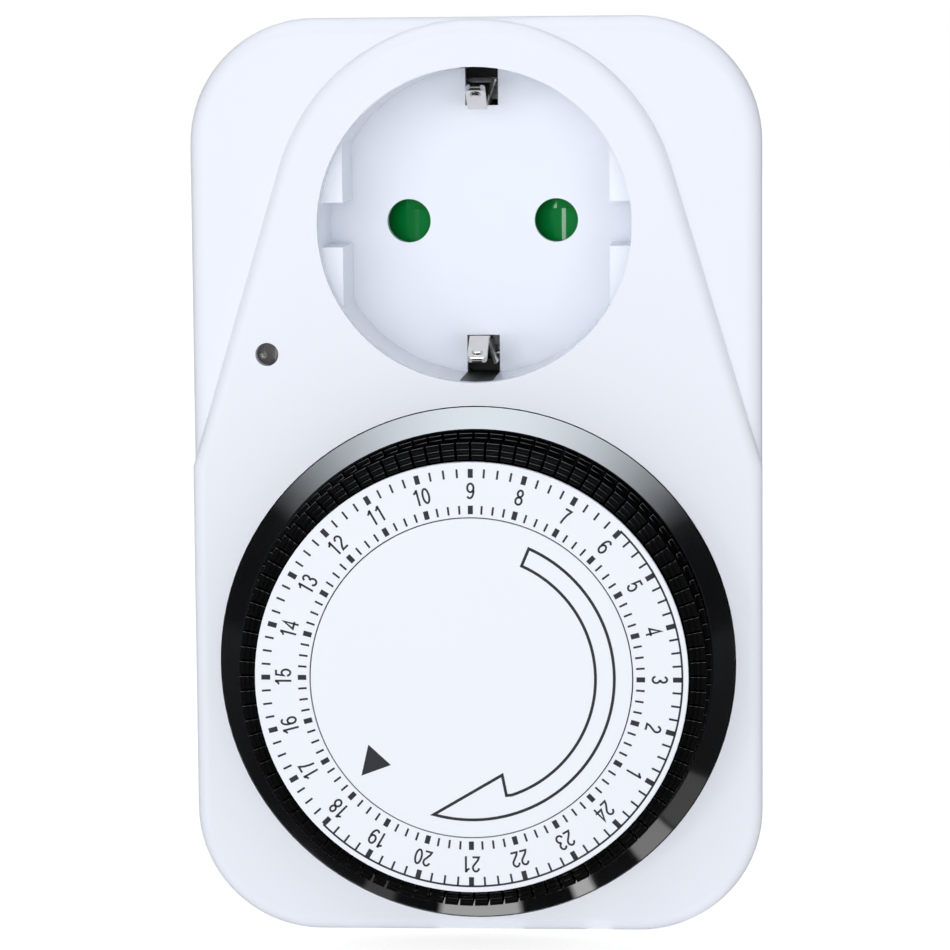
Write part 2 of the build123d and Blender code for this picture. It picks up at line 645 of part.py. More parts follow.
def shutter():
    """Green slider with a ramp behind each pin hole, which a plug pushes aside."""
    back = CARRIER_FRONT - SEAT
    plate_front = back - SHUTTER_PLATE
    crest = plate_front - SHUTTER_RISE
    left, right = -PIN_X - 3.0, PIN_X + 3.7
    gap_left = PIN_X - SHUTTER_TRAVEL - PIN_HOLE_RADIUS
    gap_right = PIN_X - SHUTTER_TRAVEL + PIN_HOLE_RADIUS
    height = 2 * SHUTTER_HALF_HEIGHT
    slider = block(left, right, plate_front, back, -height / 2, height / 2)
    slider -= block(gap_left, gap_right, plate_front, back, -2.9, 2.9)
    step = 1.45
    levels = ((-height / 2, step, 0.0, crest), (step, height / 2, -1.2, crest + 0.5))
    for side in (-1, 1):
        foot, ridge, end = side * PIN_X - 3.0, side * PIN_X + 0.85, side * PIN_X + 3.1
        for z0, z1, shift, top in levels:
            ramp = Polygon(
                (foot, plate_front), (ridge + shift, top), (end, top), (end, plate_front),
                align=None,
            )
            across = Plane(origin=(0, 0, z0), x_dir=(1, 0, 0), z_dir=(0, 0, 1))
            slider += extrude(across * ramp, amount=z1 - z0)
    tab_low = SPRING_Z - 1.6
    slider += block(TAB_X, TAB_X + TAB_WIDTH, plate_front - 1.0, back, tab_low, -height / 2 + 0.3)
    return slider


def shutter_spring():
    """Coil spring between the shutter's tab and the carrier's stop."""
    length = SPRING_STOP - (TAB_X + TAB_WIDTH)
    spring = coil_spring(1.15, 0.2, length, 8)
    y = CARRIER_FRONT - SEAT - 1.4
    return Pos(TAB_X + TAB_WIDTH, y, SPRING_Z) * Rot(0, 90, 0) * spring


def contact_carrier():
    """Black plate behind the shutter: rails, collars for the contacts, earth slot liners."""
    carrier = disc(0, 0, CARRIER_RADIUS, CARRIER_FRONT, CARRIER_BACK)
    carrier += tube(0, 0, CARRIER_RADIUS, CARRIER_RADIUS - 1.2, CARRIER_BACK - 0.5, BACK_INNER - SEAT)
    rail_front = FLOOR_BACK + SEAT
    rail_in, rail_out = SHUTTER_HALF_HEIGHT + 0.15, SHUTTER_HALF_HEIGHT + 1.5
    carrier += block(-15, 15, rail_front, CARRIER_FRONT, rail_in, rail_out)
    carrier += block(-15, TAB_X - 1, rail_front, CARRIER_FRONT, -rail_out, -rail_in)
    carrier += block(SPRING_STOP, 15, rail_front, CARRIER_FRONT, -rail_out, -rail_in)
    stop_low = SPRING_Z - 1.6
    carrier += block(SPRING_STOP, SPRING_STOP + 1.6, rail_front, CARRIER_FRONT, stop_low, -rail_in)
    for side in (-1, 1):
        carrier += disc(side * PIN_X, 0, CONTACT_BORE + CONTACT_WALL + 1.3, CARRIER_BACK - 0.2, STRIP_FRONT)
        carrier -= disc(side * PIN_X, 0, PIN_HOLE_RADIUS + 0.3, CARRIER_FRONT, STRIP_FRONT)
        strap_back = STRAP_HEIGHT + STRAP_THICKNESS
        z0, z1 = sorted((side * (CLIP_CREST - 0.5), side * (strap_back + 0.6)))
        half = STRAP_WIDTH / 2 + 0.3
        carrier -= block(-half, half, CARRIER_FRONT, BACK_INNER, z0, z1)
        half = EARTH_SLOT_WIDTH / 2 - FIT
        z0, z1 = sorted((side * (RECESS_RADIUS + SEAT), side * (INSERT_RADIUS - FIT)))
        carrier += block(-half, half, FACE_INNER + SEAT, CARRIER_BACK, z0, z1)
        z0, z1 = sorted((side * (strap_back + 0.6), side * (RECESS_RADIUS + SEAT + 0.1)))
        carrier += block(-half, half, CARRIER_FRONT, CARRIER_BACK, z0, z1)
    return carrier - wiring_notches()


def contact_tube(side):
    """Slit tube that grips an inserted pin."""
    x = side * PIN_X
    grip = tube(x, 0, CONTACT_BORE + CONTACT_WALL, CONTACT_BORE, CARRIER_FRONT + 0.4, CONTACT_END)
    slit_x0, slit_x1 = sorted((x, x - side * 4))
    return grip - block(slit_x0, slit_x1, CARRIER_FRONT, CONTACT_END, -0.5, 0.5)


def live_contact():
    """Outlet contact on the switched side."""
    return contact_tube(-1)


def neutral_contact():
    """Outlet contact joined to the neutral pin's head by a short tail."""
    tail = block(PIN_X - 1.5, PIN_X + 1.5, CONTACT_END - 1, PIN_HEAD_BACK, -2.9, -2.35)
    return contact_tube(1) + tail


def earth_strap(side):
    """Nickel strap: a sprung clip in the recess, run through to the plug's side contact."""
    inner = STRAP_HEIGHT
    mid = inner + STRAP_THICKNESS / 2
    half_thick = STRAP_THICKNESS / 2
    tip = (FRONT + CLIP_TIP_DEPTH, CLIP_TIP)
    crest = (FRONT + CLIP_CREST_DEPTH, CLIP_CREST + half_thick)
    root = (FRONT + CLIP_ROOT_DEPTH, mid)
    end = (-2.5 - half_thick, mid)
    side_view = Plane(origin=(0, 0, 0), x_dir=(0, 1, 0), z_dir=(1, 0, 0))
    tongue = side_view * bar_path([tip, crest], STRAP_THICKNESS)
    tongue = extrude(tongue, amount=CLIP_WIDTH / 2, both=True)
    reach = hypot(crest[0] - tip[0], crest[1] - tip[1])
    along = ((crest[0] - tip[0]) / reach, (crest[1] - tip[1]) / reach)
    face = (0, along[1], -along[0])
    plan = Pos(0, reach - half_thick) * RectangleRounded(CLIP_WIDTH, 2 * reach, CLIP_CORNER)
    tongue &= extrude(clip_plane(tip, face) * plan, amount=2, both=True)
    place = (tip[0] + along[0] * CLIP_DIMPLE_PLACE, tip[1] + along[1] * CLIP_DIMPLE_PLACE)
    dimple = extrude(clip_plane(place, face) * Circle(CLIP_DIMPLE), amount=half_thick + CLIP_DIMPLE_RISE)
    top = dimple.edges().sort_by(Axis((0, 0, 0), face))[-1]
    tongue += fillet(top, CLIP_DIMPLE_RISE * 0.95)
    neck = (FLOOR_BACK, mid)
    spring = side_view * bar_path([crest, root, neck], STRAP_THICKNESS)
    strap = tongue + extrude(spring, amount=CLIP_WIDTH / 2, both=True)
    run = side_view * bar_path([neck, end], STRAP_THICKNESS)
    strap += extrude(run, amount=STRAP_WIDTH / 2, both=True)
    reach_x = (STRAP_WIDTH - WING_THICKNESS) / 2
    wing = bar_path([(reach_x - 1.0, WING_INNER), (reach_x, WING_OUTER)], WING_THICKNESS)
    strap += slab(wing, FRONT + WING_DEPTH, FLOOR_BACK + 0.2)
    return strap if side > 0 else mirror(strap, about=Plane.XY)


def clip_plane(point, face):
    """Plane of the clip's tongue at a point of Y and Z, its local y towards the crest."""
    return Plane(origin=(0, *point), x_dir=(-1, 0, 0), z_dir=face)


BRIDGE_Y = -5.0
RIVET_RADIUS = 1.2


def earth_bridge():
    """Strip across the plug that joins the two straps, with a stud at each end."""
    bridge = block(-1.6, 1.6, BRIDGE_Y - 0.4, BRIDGE_Y + 0.4, -PLUG_HOLLOW + 0.6, PLUG_HOLLOW - 0.6)
    for side in (-1, 1):
        start = Plane(origin=(0, BRIDGE_Y, side * (PLUG_HOLLOW - 2)), z_dir=(0, 0, side))
        bridge += extrude(start * Circle(RIVET_RADIUS), amount=STRAP_HEIGHT - PLUG_HOLLOW + 2)
    return bridge


# ---- lamp ----
def neon_lamp():
    """Glass bulb whose round tip shows in the small hole."""
    centre = FACE_INNER + 1.4
    bulb = disc(LAMP_X, LAMP_Z, LAMP_RADIUS, centre, FACE_INNER + LAMP_LENGTH)
    return bulb + Pos(LAMP_X, centre, LAMP_Z) * Sphere(LAMP_RADIUS)


RESISTOR_X, RESISTOR_Z = LAMP_X - LAMP_LEAD, LAMP_Z - RESISTOR_DROP
RESISTOR_Y = LAMP_BACK + RESISTOR_BEHIND


def lamp_resistor():
    """Series resistor below the lamp."""
    body = Cylinder(RESISTOR_RADIUS, RESISTOR_LENGTH)
    for end in (-1, 1):
        cap = Cylinder(RESISTOR_RADIUS * 1.12, RESISTOR_LENGTH / 4)
        body += Pos(0, 0, end * RESISTOR_LENGTH * 3 / 8) * cap
    return Pos(RESISTOR_X, RESISTOR_Y, RESISTOR_Z) * body


def lamp_leads():
    """Two lamp wires: through the resistor to the switched strip, and to the motor lead."""
    top, bottom = RESISTOR_Z + RESISTOR_LENGTH / 2, RESISTOR_Z - RESISTOR_LENGTH / 2
    low = bottom - WIRE_DROP
    strip_y = (STRIP_FRONT + STRIP_BACK) / 2
    first = wire(
        [(RESISTOR_X, LAMP_BACK, LAMP_Z), (RESISTOR_X, RESISTOR_Y, LAMP_Z),
         (RESISTOR_X, RESISTOR_Y, top)],
        WIRE_RADIUS, 5 * WIRE_RADIUS,
    )
    second = wire(
        [(RESISTOR_X, RESISTOR_Y, bottom), (RESISTOR_X, RESISTOR_Y, low),
         (RESISTOR_X, strip_y, low), (LIVE_OUT_X - STRIP_THICKNESS / 2, strip_y, low)],
        WIRE_RADIUS, 4 * WIRE_RADIUS,
    )
    x, y, z = LAMP_X + LAMP_LEAD, STRIP_FRONT - WIRE_CLEARANCE, -INSERT_RADIUS - WIRE_BELOW
    third = wire(
        [(x, LAMP_BACK, LAMP_Z), (x, y, LAMP_Z), (x, y, z), (PIN_X, y, z),
         (PIN_X, strip_y - LEAD_RADIUS, z)],
        WIRE_RADIUS, 2.6 * WIRE_RADIUS,
    )
    return first + second + third


# ---- dial ----
def dial_wheel():
    """Black dial: grip flank, groove with 96 slots for the tappets, drum, ring gear, hub."""
    recess = CENTRE_DISC_RADIUS + DISC_GAP + FREE
    plate_front = DISC_BACK + FREE
    plate_back = plate_front + DRUM_PLATE
    hub_top = plate_front + HUB_TOP_BELOW_PLATE
    hub_end = SHOULDER_FRONT - RUNNING
    bore = POST_RADIUS + RUNNING
    flank_top = FRONT - FLANK_HEIGHT
    ring_root = RING_RADIUS + 1.25 * RING_MODULE
    ring_tip = RING_RADIUS - RING_MODULE
    section = Polygon(
        (recess, DISC_BACK), (DRUM_RADIUS, DISC_BACK), (DRUM_RADIUS, GROOVE_BOTTOM),
        (GROOVE_RADIUS, GROOVE_BOTTOM), (GROOVE_RADIUS, flank_top),
        (FLANK_TOP_RADIUS, flank_top), (SKIRT_RADIUS, FRONT), (SKIRT_RADIUS, DIAL_FOOT),
        (ring_tip, DIAL_FOOT), (ring_tip, plate_back), (HUB_RADIUS, plate_back),
        (HUB_RADIUS, hub_end), (bore, hub_end), (bore, hub_top),
        (HUB_POCKET_RADIUS, hub_top), (HUB_POCKET_RADIUS, plate_front), (recess, plate_front),
        align=None,
    )
    wheel = Pos(0, 0, DIAL_Z) * revolve(section, Axis.Y)
    space = gear(RING_TEETH, RING_MODULE, ring_root, ring_tip - 0.3, BACKLASH, IDLER_DIRECTION)
    space -= Circle(ring_tip - 2)
    wheel -= slab(Pos(0, DIAL_Z) * space, DIAL_FOOT - RING_FACE, DIAL_FOOT + 1)
    slots = Sketch()
    inner, outer = TAPPET_INNER - FIT, SHANK_OUTER + FIT
    for index in range(TAPPET_COUNT):
        angle = tappet_angle(index)
        x, z = around_dial((inner + outer) / 2, angle)
        slots += Pos(x, z) * Rot(0, 0, angle) * Rectangle(outer - inner, SHANK_WIDTH + 2 * FIT)
    return wheel - slab(slots, GROOVE_BOTTOM - 1, DIAL_FOOT + 1)


def hour_angle(hour):
    """Angle of an hour's line on the dial; hours count anticlockwise, with 9 at the top."""
    return 90 + (hour - 9) * 15


def tappet_angle(index):
    """Middle of a tappet. Four tappets fill each hour; the first one follows 1 o'clock."""
    return hour_angle(1) + (index + 0.5) * 360 / TAPPET_COUNT


def wedge(angle, inner, outer):
    """Plan of one tappet between two radii, with half the gap taken off each side."""
    half_pitch = pi / TAPPET_COUNT
    points = []
    for radius, side in ((inner, -1), (outer, -1), (outer, 1), (inner, 1)):
        half = half_pitch - asin(TAPPET_GAP / 2 / radius)
        x, z = around_dial(radius, angle + side * degrees(half))
        points.append((x, z))
    return Polygon(*points, align=None)


def tappet_group(first):
    """Eight tappets: ridged head, outer ledge and a shank that reaches through the dial."""
    head, ledge, shank = Sketch(), Sketch(), Sketch()
    for index in range(first, first + TAPPETS_IN_GROUP):
        angle = tappet_angle(index)
        head += wedge(angle, TAPPET_INNER, TAPPET_OUTER)
        ledge += wedge(angle, TAPPET_INNER, LEDGE_OUTER)
        length = SHANK_OUTER - TAPPET_INNER
        x, z = around_dial(TAPPET_INNER + length / 2, angle)
        shank += Pos(x, z) * Rot(0, 0, angle) * Rectangle(length, SHANK_WIDTH)
    top = FRONT - TAPPET_HEIGHT
    ledge_top = FRONT - LEDGE_HEIGHT
    ledge_back = ledge_top + LEDGE_THICKNESS
    group = slab(head, top, ledge_top) + slab(ledge, ledge_top, ledge_back)
    group += slab(shank, ledge_back, SHANK_END)
    middle = (TAPPET_INNER + TAPPET_OUTER) / 2
    for radius in (middle - RIDGE_PITCH / 2, middle + RIDGE_PITCH / 2):
        ring = Circle(radius + RIDGE_GROOVE / 2) - Circle(radius - RIDGE_GROOVE / 2)
        group -= slab(Pos(0, DIAL_Z) * ring, top, top + RIDGE_GROOVE)
    return group


def scale_disc():
    """White ring that carries the hour scale and turns with the dial."""
    inner = CENTRE_DISC_RADIUS + DISC_GAP
    ring = tube(0, DIAL_Z, DISC_RADIUS, inner, DISC_FRONT, DISC_BACK)
    return fillet(edges_at_depth(ring, DISC_FRONT), DISC_EDGE / 2)


def centre_disc():
    """White fixed disc, pressed into the post by its stub."""
    plate = disc(0, DIAL_Z, CENTRE_DISC_RADIUS, DISC_FRONT, DISC_BACK)
    plate = fillet(edges_at_depth(plate, DISC_FRONT), DISC_EDGE / 2)
    return plate + disc(0, DIAL_Z, POST_BORE - FIT, DISC_BACK, DISC_BACK + CENTRE_STUB_LENGTH)


def dial_clip():
    """Retaining ring on the post, over the end of the dial's hub."""
    back = DISC_BACK + FREE + HUB_TOP_BELOW_PLATE - 0.1
    ring = Circle(CLIP_RING_RADIUS) - Circle(POST_RADIUS)
    ring -= Pos(0, -POST_RADIUS) * Rectangle(2.2, 6)
    return slab(Pos(0, DIAL_Z) * ring, back - CLIP_RING_THICKNESS, back)


# ---- gear train ----
def idler_gear():
    """Compound gear: its long pinion drives the dial's ring, its wheel meets the motor."""
    tip = IDLER_PINION_RADIUS + 0.9 * RING_MODULE
    root = IDLER_PINION_RADIUS - 1.15 * RING_MODULE
    pinion = gear(IDLER_PINION_TEETH, RING_MODULE, tip, root, -BACKLASH / 2, IDLER_DIRECTION)
    wheel_pitch = TRAIN_MODULE * IDLER_WHEEL_TEETH / 2
    wheel = gear(
        IDLER_WHEEL_TEETH, TRAIN_MODULE, wheel_pitch + 0.9 * TRAIN_MODULE,
        wheel_pitch - 1.15 * TRAIN_MODULE, -BACKLASH / 2, IDLER_DIRECTION + 180,
    )
    wheel_back = PLATE_FRONT - 0.5
    wheel_front = wheel_back - IDLER_WHEEL_THICKNESS
    place = Pos(IDLER_X, IDLER_Z)
    idler = slab(place * pinion, DIAL_FOOT - IDLER_PINION_REACH, wheel_front + 0.2)
    idler += slab(place * wheel, wheel_front, wheel_back)
    idler += disc(IDLER_X, IDLER_Z, 2.4, wheel_back - 0.2, PLATE_FRONT - RUNNING)
    return idler - disc(IDLER_X, IDLER_Z, AXLE_RADIUS + FIT, DIAL_FOOT - RING_FACE, PLATE_FRONT)


def idler_axle():
    """Steel pin pressed into the movement plate."""
    return disc(IDLER_X, IDLER_Z, AXLE_RADIUS, DIAL_FOOT - IDLER_PINION_REACH - 0.6, PLATE_BACK)


def motor_pinion():
    """Motor shaft with its pinion."""
    pitch = TRAIN_MODULE * MOTOR_PINION_TEETH / 2
    turn = IDLER_DIRECTION + 180 / MOTOR_PINION_TEETH
    teeth = gear(
        MOTOR_PINION_TEETH, TRAIN_MODULE, pitch + 0.9 * TRAIN_MODULE,
        pitch - 1.15 * TRAIN_MODULE, -BACKLASH / 2, turn,
    )
    front = PLATE_FRONT - 0.5 - IDLER_WHEEL_THICKNESS - 0.1
    pinion = slab(Pos(OUTPUT_X, OUTPUT_Z) * teeth, front, PLATE_FRONT - 0.3)
    return pinion + disc(OUTPUT_X, OUTPUT_Z, AXLE_RADIUS, PLATE_FRONT - 0.4, MOTOR_BACK - 1.5)


def motor_lid():
    """Front plate of the motor with its two screw ears and the shaft's bearing hole."""
    profile = Pos(MOTOR_X, MOTOR_Z) * Circle(MOTOR_RADIUS)
    profile += bar_path(MOTOR_EARS, MOTOR_EAR_WIDTH)
    profile -= Pos(OUTPUT_X, OUTPUT_Z) * Circle(AXLE_RADIUS + RUNNING)
    for x, z in MOTOR_EARS:
        profile -= Pos(x, z) * Circle(SMALL_SCREW_RADIUS)
    return slab(profile, PLATE_BACK, PLATE_BACK + MOTOR_LID)


def motor_case():
    """Round metal can of the motor, with a bearing boss for the shaft."""
    front = PLATE_BACK + MOTOR_LID
    can = disc(MOTOR_X, MOTOR_Z, MOTOR_RADIUS, front, MOTOR_BACK)
    can = fillet(edges_at_depth(can, MOTOR_BACK), 1.2)
    can -= disc(MOTOR_X, MOTOR_Z, MOTOR_RADIUS - MOTOR_WALL, front, MOTOR_BACK - MOTOR_WALL)
    can += disc(OUTPUT_X, OUTPUT_Z, 1.45, MOTOR_BACK - 2.4, MOTOR_BACK - 0.5)
    return can - disc(OUTPUT_X, OUTPUT_Z, AXLE_RADIUS + RUNNING, MOTOR_BACK - 2.4, MOTOR_BACK - 1.4)


def motor_coil():
    """Winding on its bobbin, inside the can."""
    front = PLATE_BACK + MOTOR_LID + 1.2
    return tube(MOTOR_X, MOTOR_Z, COIL_OUTER, COIL_INNER, front, MOTOR_BACK - MOTOR_WALL)


def motor_screws():
    group = Part()
    for x, z in MOTOR_EARS:
        group += screw(
            x, z, SMALL_SCREW_RADIUS, SMALL_SCREW_HEAD, SMALL_SCREW_HEAD_HEIGHT,
            PLATE_BACK + MOTOR_LID, MOTOR_LID + PLATE_THICKNESS - 0.1,
        )
    return group


def motor_leads():
    """Two insulated leads, to the neutral contact and to the live feed strip."""
    y = (STRIP_FRONT + STRIP_BACK) / 2
    exit_y = MOTOR_BACK - LEAD_EXIT
    rise = MOTOR_Z + MOTOR_RADIUS + LEAD_RISE
    x = MOTOR_X + NEUTRAL_LEAD_X
    start = MOTOR_Z + MOTOR_RADIUS
    to_neutral = wire(
        [(x, exit_y, start), (x, exit_y, rise), (PIN_X, y, rise + LEAD_RISE / 2),
         (PIN_X, y, -CONTACT_BORE - CONTACT_WALL)],
        LEAD_RADIUS, LEAD_BEND,
    )
    x = MOTOR_X + LIVE_LEAD_X
    start = MOTOR_Z + sqrt(MOTOR_RADIUS**2 - (abs(LIVE_LEAD_X) - LEAD_RADIUS) ** 2)
    to_live = wire(
        [(x, exit_y, start), (x, exit_y, rise - LEAD_BEND), (x - 3 * abs(LIVE_LEAD_X), y, rise),
         (LIVE_IN_X + STRIP_THICKNESS / 2, y, rise)],
        LEAD_RADIUS, LEAD_BEND,
    )
    return to_neutral + to_live


# ---- movement plate ----
SWITCH_X0 = FINGER_X - SWITCH_WIDTH / 2
SWITCH_X1 = FINGER_X + SWITCH_WIDTH / 2
BRACKET = 1.5
LEVER_HALF = LEVER_WIDTH / 2 + 1.1      # half the width of the lever's hub
SWITCH_SCREWS = [(SWITCH_FRONT + 7.0, SWITCH_TOP - 3.5), (SWITCH_FRONT + 3.0, SWITCH_BOTTOM + 3.0)]


def movement_plate():
    """Black plate that carries motor, idler, lever and microswitch."""
    width, height = PLATE_RIGHT - PLATE_LEFT, PLATE_TOP - PLATE_BOTTOM
    middle = ((PLATE_LEFT + PLATE_RIGHT) / 2, (PLATE_TOP + PLATE_BOTTOM) / 2)
    profile = Pos(*middle) * RectangleRounded(width, height, PLATE_CORNER)
    plate = slab(profile, PLATE_FRONT, PLATE_BACK)
    gap = LEVER_HALF + FREE
    plate -= block(
        FINGER_X - gap, FINGER_X + gap, PLATE_FRONT, PLATE_BACK,
        PLATE_BOTTOM - 1, LEVER_PIVOT_Z + 2.6,
    )
    for side in (-1, 1):
        x0, x1 = sorted((FINGER_X + side * gap, FINGER_X + side * (gap + 2)))
        plate += block(
            x0, x1, PLATE_FRONT - 0.8, PLATE_BACK + 0.8, LEVER_PIVOT_Z - 2, LEVER_PIVOT_Z + 2
        )
    bracket_x = SWITCH_X1 + 0.05
    plate += block(
        bracket_x, bracket_x + BRACKET, PLATE_BACK - 0.5, SWITCH_BACK - 1,
        SWITCH_BOTTOM + 1, SWITCH_TOP,
    )
    plate -= along_x(FINGER_X - gap - 3, FINGER_X + gap + 3, PIVOT_Y, LEVER_PIVOT_Z, LEVER_PIN_RADIUS)
    for y, z in SWITCH_SCREWS:
        plate -= along_x(bracket_x - 1, bracket_x + BRACKET + 2, y, z, SMALL_SCREW_RADIUS)
    plate -= disc(OUTPUT_X, OUTPUT_Z, AXLE_RADIUS + 1.5, PLATE_FRONT, PLATE_BACK)
    plate -= disc(IDLER_X, IDLER_Z, AXLE_RADIUS, PLATE_FRONT, PLATE_BACK)
    for x, z in PLATE_SCREWS + MOTOR_EARS:
        plate -= disc(x, z, SMALL_SCREW_RADIUS, PLATE_FRONT, PLATE_BACK)
    for x, z in CASE_SCREWS:
        plate -= disc(x, z, CASE_BOSS + FREE, PLATE_FRONT, PLATE_BACK)
    return plate


def along_x(x0, x1, y, z, radius):
    """A round bar along X."""
    start = Plane(origin=(x0, y, z), x_dir=(0, 1, 0), z_dir=(1, 0, 0))
    return extrude(start * Circle(radius), amount=x1 - x0)


def plate_screws():
    group = Part()
    for x, z in PLATE_SCREWS:
        group += screw(
            x, z, SMALL_SCREW_RADIUS, SMALL_SCREW_HEAD, SMALL_SCREW_HEAD_HEIGHT,
            PLATE_BACK, PLATE_THICKNESS + GEAR_LAYER - 0.2,
        )
    return group


# ---- follower ----
def follower_lever():
    """Lever whose finger rides under the tappets and whose nose presses the plunger."""
    tip_round = 0.8
    lever = along_x(FINGER_X - LEVER_HALF, FINGER_X + LEVER_HALF, PIVOT_Y, LEVER_PIVOT_Z, 2.0)
    half = LEVER_WIDTH / 2
    low = FINGER_Z - FINGER_HEIGHT / 2 - 0.8
    lever += block(FINGER_X - half, FINGER_X + half, LEVER_FRONT, LEVER_BACK, low, LEVER_PIVOT_Z)
    finger = block(
        FINGER_X - FINGER_WIDTH / 2, FINGER_X + FINGER_WIDTH / 2, FINGER_TIP, LEVER_BACK,
        FINGER_Z - FINGER_HEIGHT / 2, FINGER_Z + FINGER_HEIGHT / 2,
    )
    lever += fillet(edges_at_depth(finger, FINGER_TIP).filter_by(Axis.X), tip_round)
    nose = PLUNGER_TIP - FIT
    lever += block(
        FINGER_X - 1.4, FINGER_X + 1.4, LEVER_BACK - 0.5, nose, PLUNGER_Z - 0.8, PLUNGER_Z + 0.8
    )
    bore = LEVER_PIN_RADIUS + FIT
    return lever - along_x(FINGER_X - 10, FINGER_X + 10, PIVOT_Y, LEVER_PIVOT_Z, bore)


def lever_pin():
    gap = LEVER_HALF + FREE + 1.8
    return along_x(FINGER_X - gap, FINGER_X + gap, PIVOT_Y, LEVER_PIVOT_Z, LEVER_PIN_RADIUS)


def lever_spring():
    """Coil spring between the lever and the microswitch."""
    length = SWITCH_FRONT - LEVER_BACK
    spring = coil_spring(1.3, 0.2, length, 4)
    return Pos(FINGER_X, LEVER_BACK, FINGER_Z + 4.2) * Rot(-90, 0, 0) * spring


# ---- microswitch ----
def microswitch_case():
    """Black switch housing with a bore for the plunger and two screw holes."""
    case = block(SWITCH_X0, SWITCH_X1, SWITCH_FRONT, SWITCH_BACK, SWITCH_BOTTOM, SWITCH_TOP)
    wall = SWITCH_CASE_WALL
    case -= block(
        SWITCH_X0 + wall, SWITCH_X1 - wall, SWITCH_FRONT + wall, SWITCH_FRONT + 4 * wall,
        PLUNGER_Z - 3 * wall, PLUNGER_Z + 1.5 * wall,
    )
    case -= disc(FINGER_X, PLUNGER_Z, PLUNGER_RADIUS + RUNNING, SWITCH_FRONT, SWITCH_FRONT + 2)
    for y, z in SWITCH_SCREWS:
        case -= along_x(SWITCH_X0, SWITCH_X1, y, z, SMALL_SCREW_RADIUS)
    half = STRIP_THICKNESS / 2
    for x, y0, y1 in TERMINALS:
        case -= block(x - half, x + half, y0, y1, SWITCH_BOTTOM, SWITCH_BOTTOM + 2)
    return case


TERMINALS = [
    (FINGER_X + TERMINAL_SPACING / 2, STRIP_FRONT + 0.2, SWITCH_BACK - 0.4),
    (FINGER_X - TERMINAL_SPACING / 2, SWITCH_BACK - 7.4, SWITCH_BACK - 4.4),
]


def microswitch_plunger():
    """Button of the microswitch, with a collar inside the housing."""
    button = disc(FINGER_X, PLUNGER_Z, PLUNGER_RADIUS, PLUNGER_TIP, SWITCH_FRONT + 1.6)
    return button + disc(FINGER_X, PLUNGER_Z, 1.5, SWITCH_FRONT + 1.3, SWITCH_FRONT + 2.3)


def switch_terminals():
    """Two brass blades that leave the lower end of the microswitch."""
    blades = Part()
    low, half = SWITCH_BOTTOM - TERMINAL_REACH, STRIP_THICKNESS / 2
    for x, y0, y1 in TERMINALS:
        blades += block(x - half, x + half, y0, y1, low, SWITCH_BOTTOM + 2)
    return blades


def switch_screws():
    """Two screws through the microswitch into the plate's bracket."""
    group = Part()
    for y, z in SWITCH_SCREWS:
        group += along_x(SWITCH_X0, SWITCH_X1 + BRACKET, y, z, SMALL_SCREW_RADIUS)
        group += along_x(SWITCH_X0 - 1.0, SWITCH_X0, y, z, SMALL_SCREW_HEAD)
    return group


# ---- brass strips ----
def live_in_strip():
    """Live feed: from the live pin's head, up the plug and down to the microswitch."""
    half = STRIP_THICKNESS / 2
    left, right = -PIN_X - STRIP_FOOT / 2, -PIN_X + STRIP_FOOT / 2
    turn = -STRIP_TURN
    foot = block(left, right, PIN_HEAD_BACK - STRIP_THICKNESS, PIN_HEAD_BACK, turn, -1)
    riser = block(left, right, STRIP_FRONT, PIN_HEAD_BACK, turn - STRIP_THICKNESS, turn)
    low = SWITCH_BOTTOM - TERMINAL_REACH + 1
    run = bar_path(
        [(-PIN_X, turn - half), (LIVE_IN_X, turn - STRIP_LEAN), (LIVE_IN_X, low),
         (TERMINALS[0][0] + STRIP_THICKNESS, low)],
        STRIP_THICKNESS,
    )
    return foot + riser + slab(run, STRIP_FRONT, STRIP_BACK)


def live_out_strip():
    """Switched live: from the microswitch back up to the outlet's live contact."""
    x, y0, y1 = TERMINALS[1]
    half = STRIP_THICKNESS / 2
    low = SWITCH_BOTTOM - TERMINAL_REACH + 1
    tube_x = -PIN_X - CONTACT_BORE - CONTACT_WALL
    lower = [(x + STRIP_THICKNESS, low), (LIVE_OUT_X, low), (LIVE_OUT_X, JOG_TOP)]
    upper = [(LIVE_OUT_X, JOG_BOTTOM), (LIVE_OUT_X, -STRIP_LEAN), (tube_x - half, 0)]
    strip = slab(bar_path(lower, STRIP_THICKNESS), y0, y1)
    strip += slab(bar_path(upper, STRIP_THICKNESS), STRIP_FRONT, STRIP_BACK)
    jog = block(LIVE_OUT_X - half, LIVE_OUT_X + half, y0, STRIP_BACK, JOG_BOTTOM, JOG_TOP)
    return strip + jog


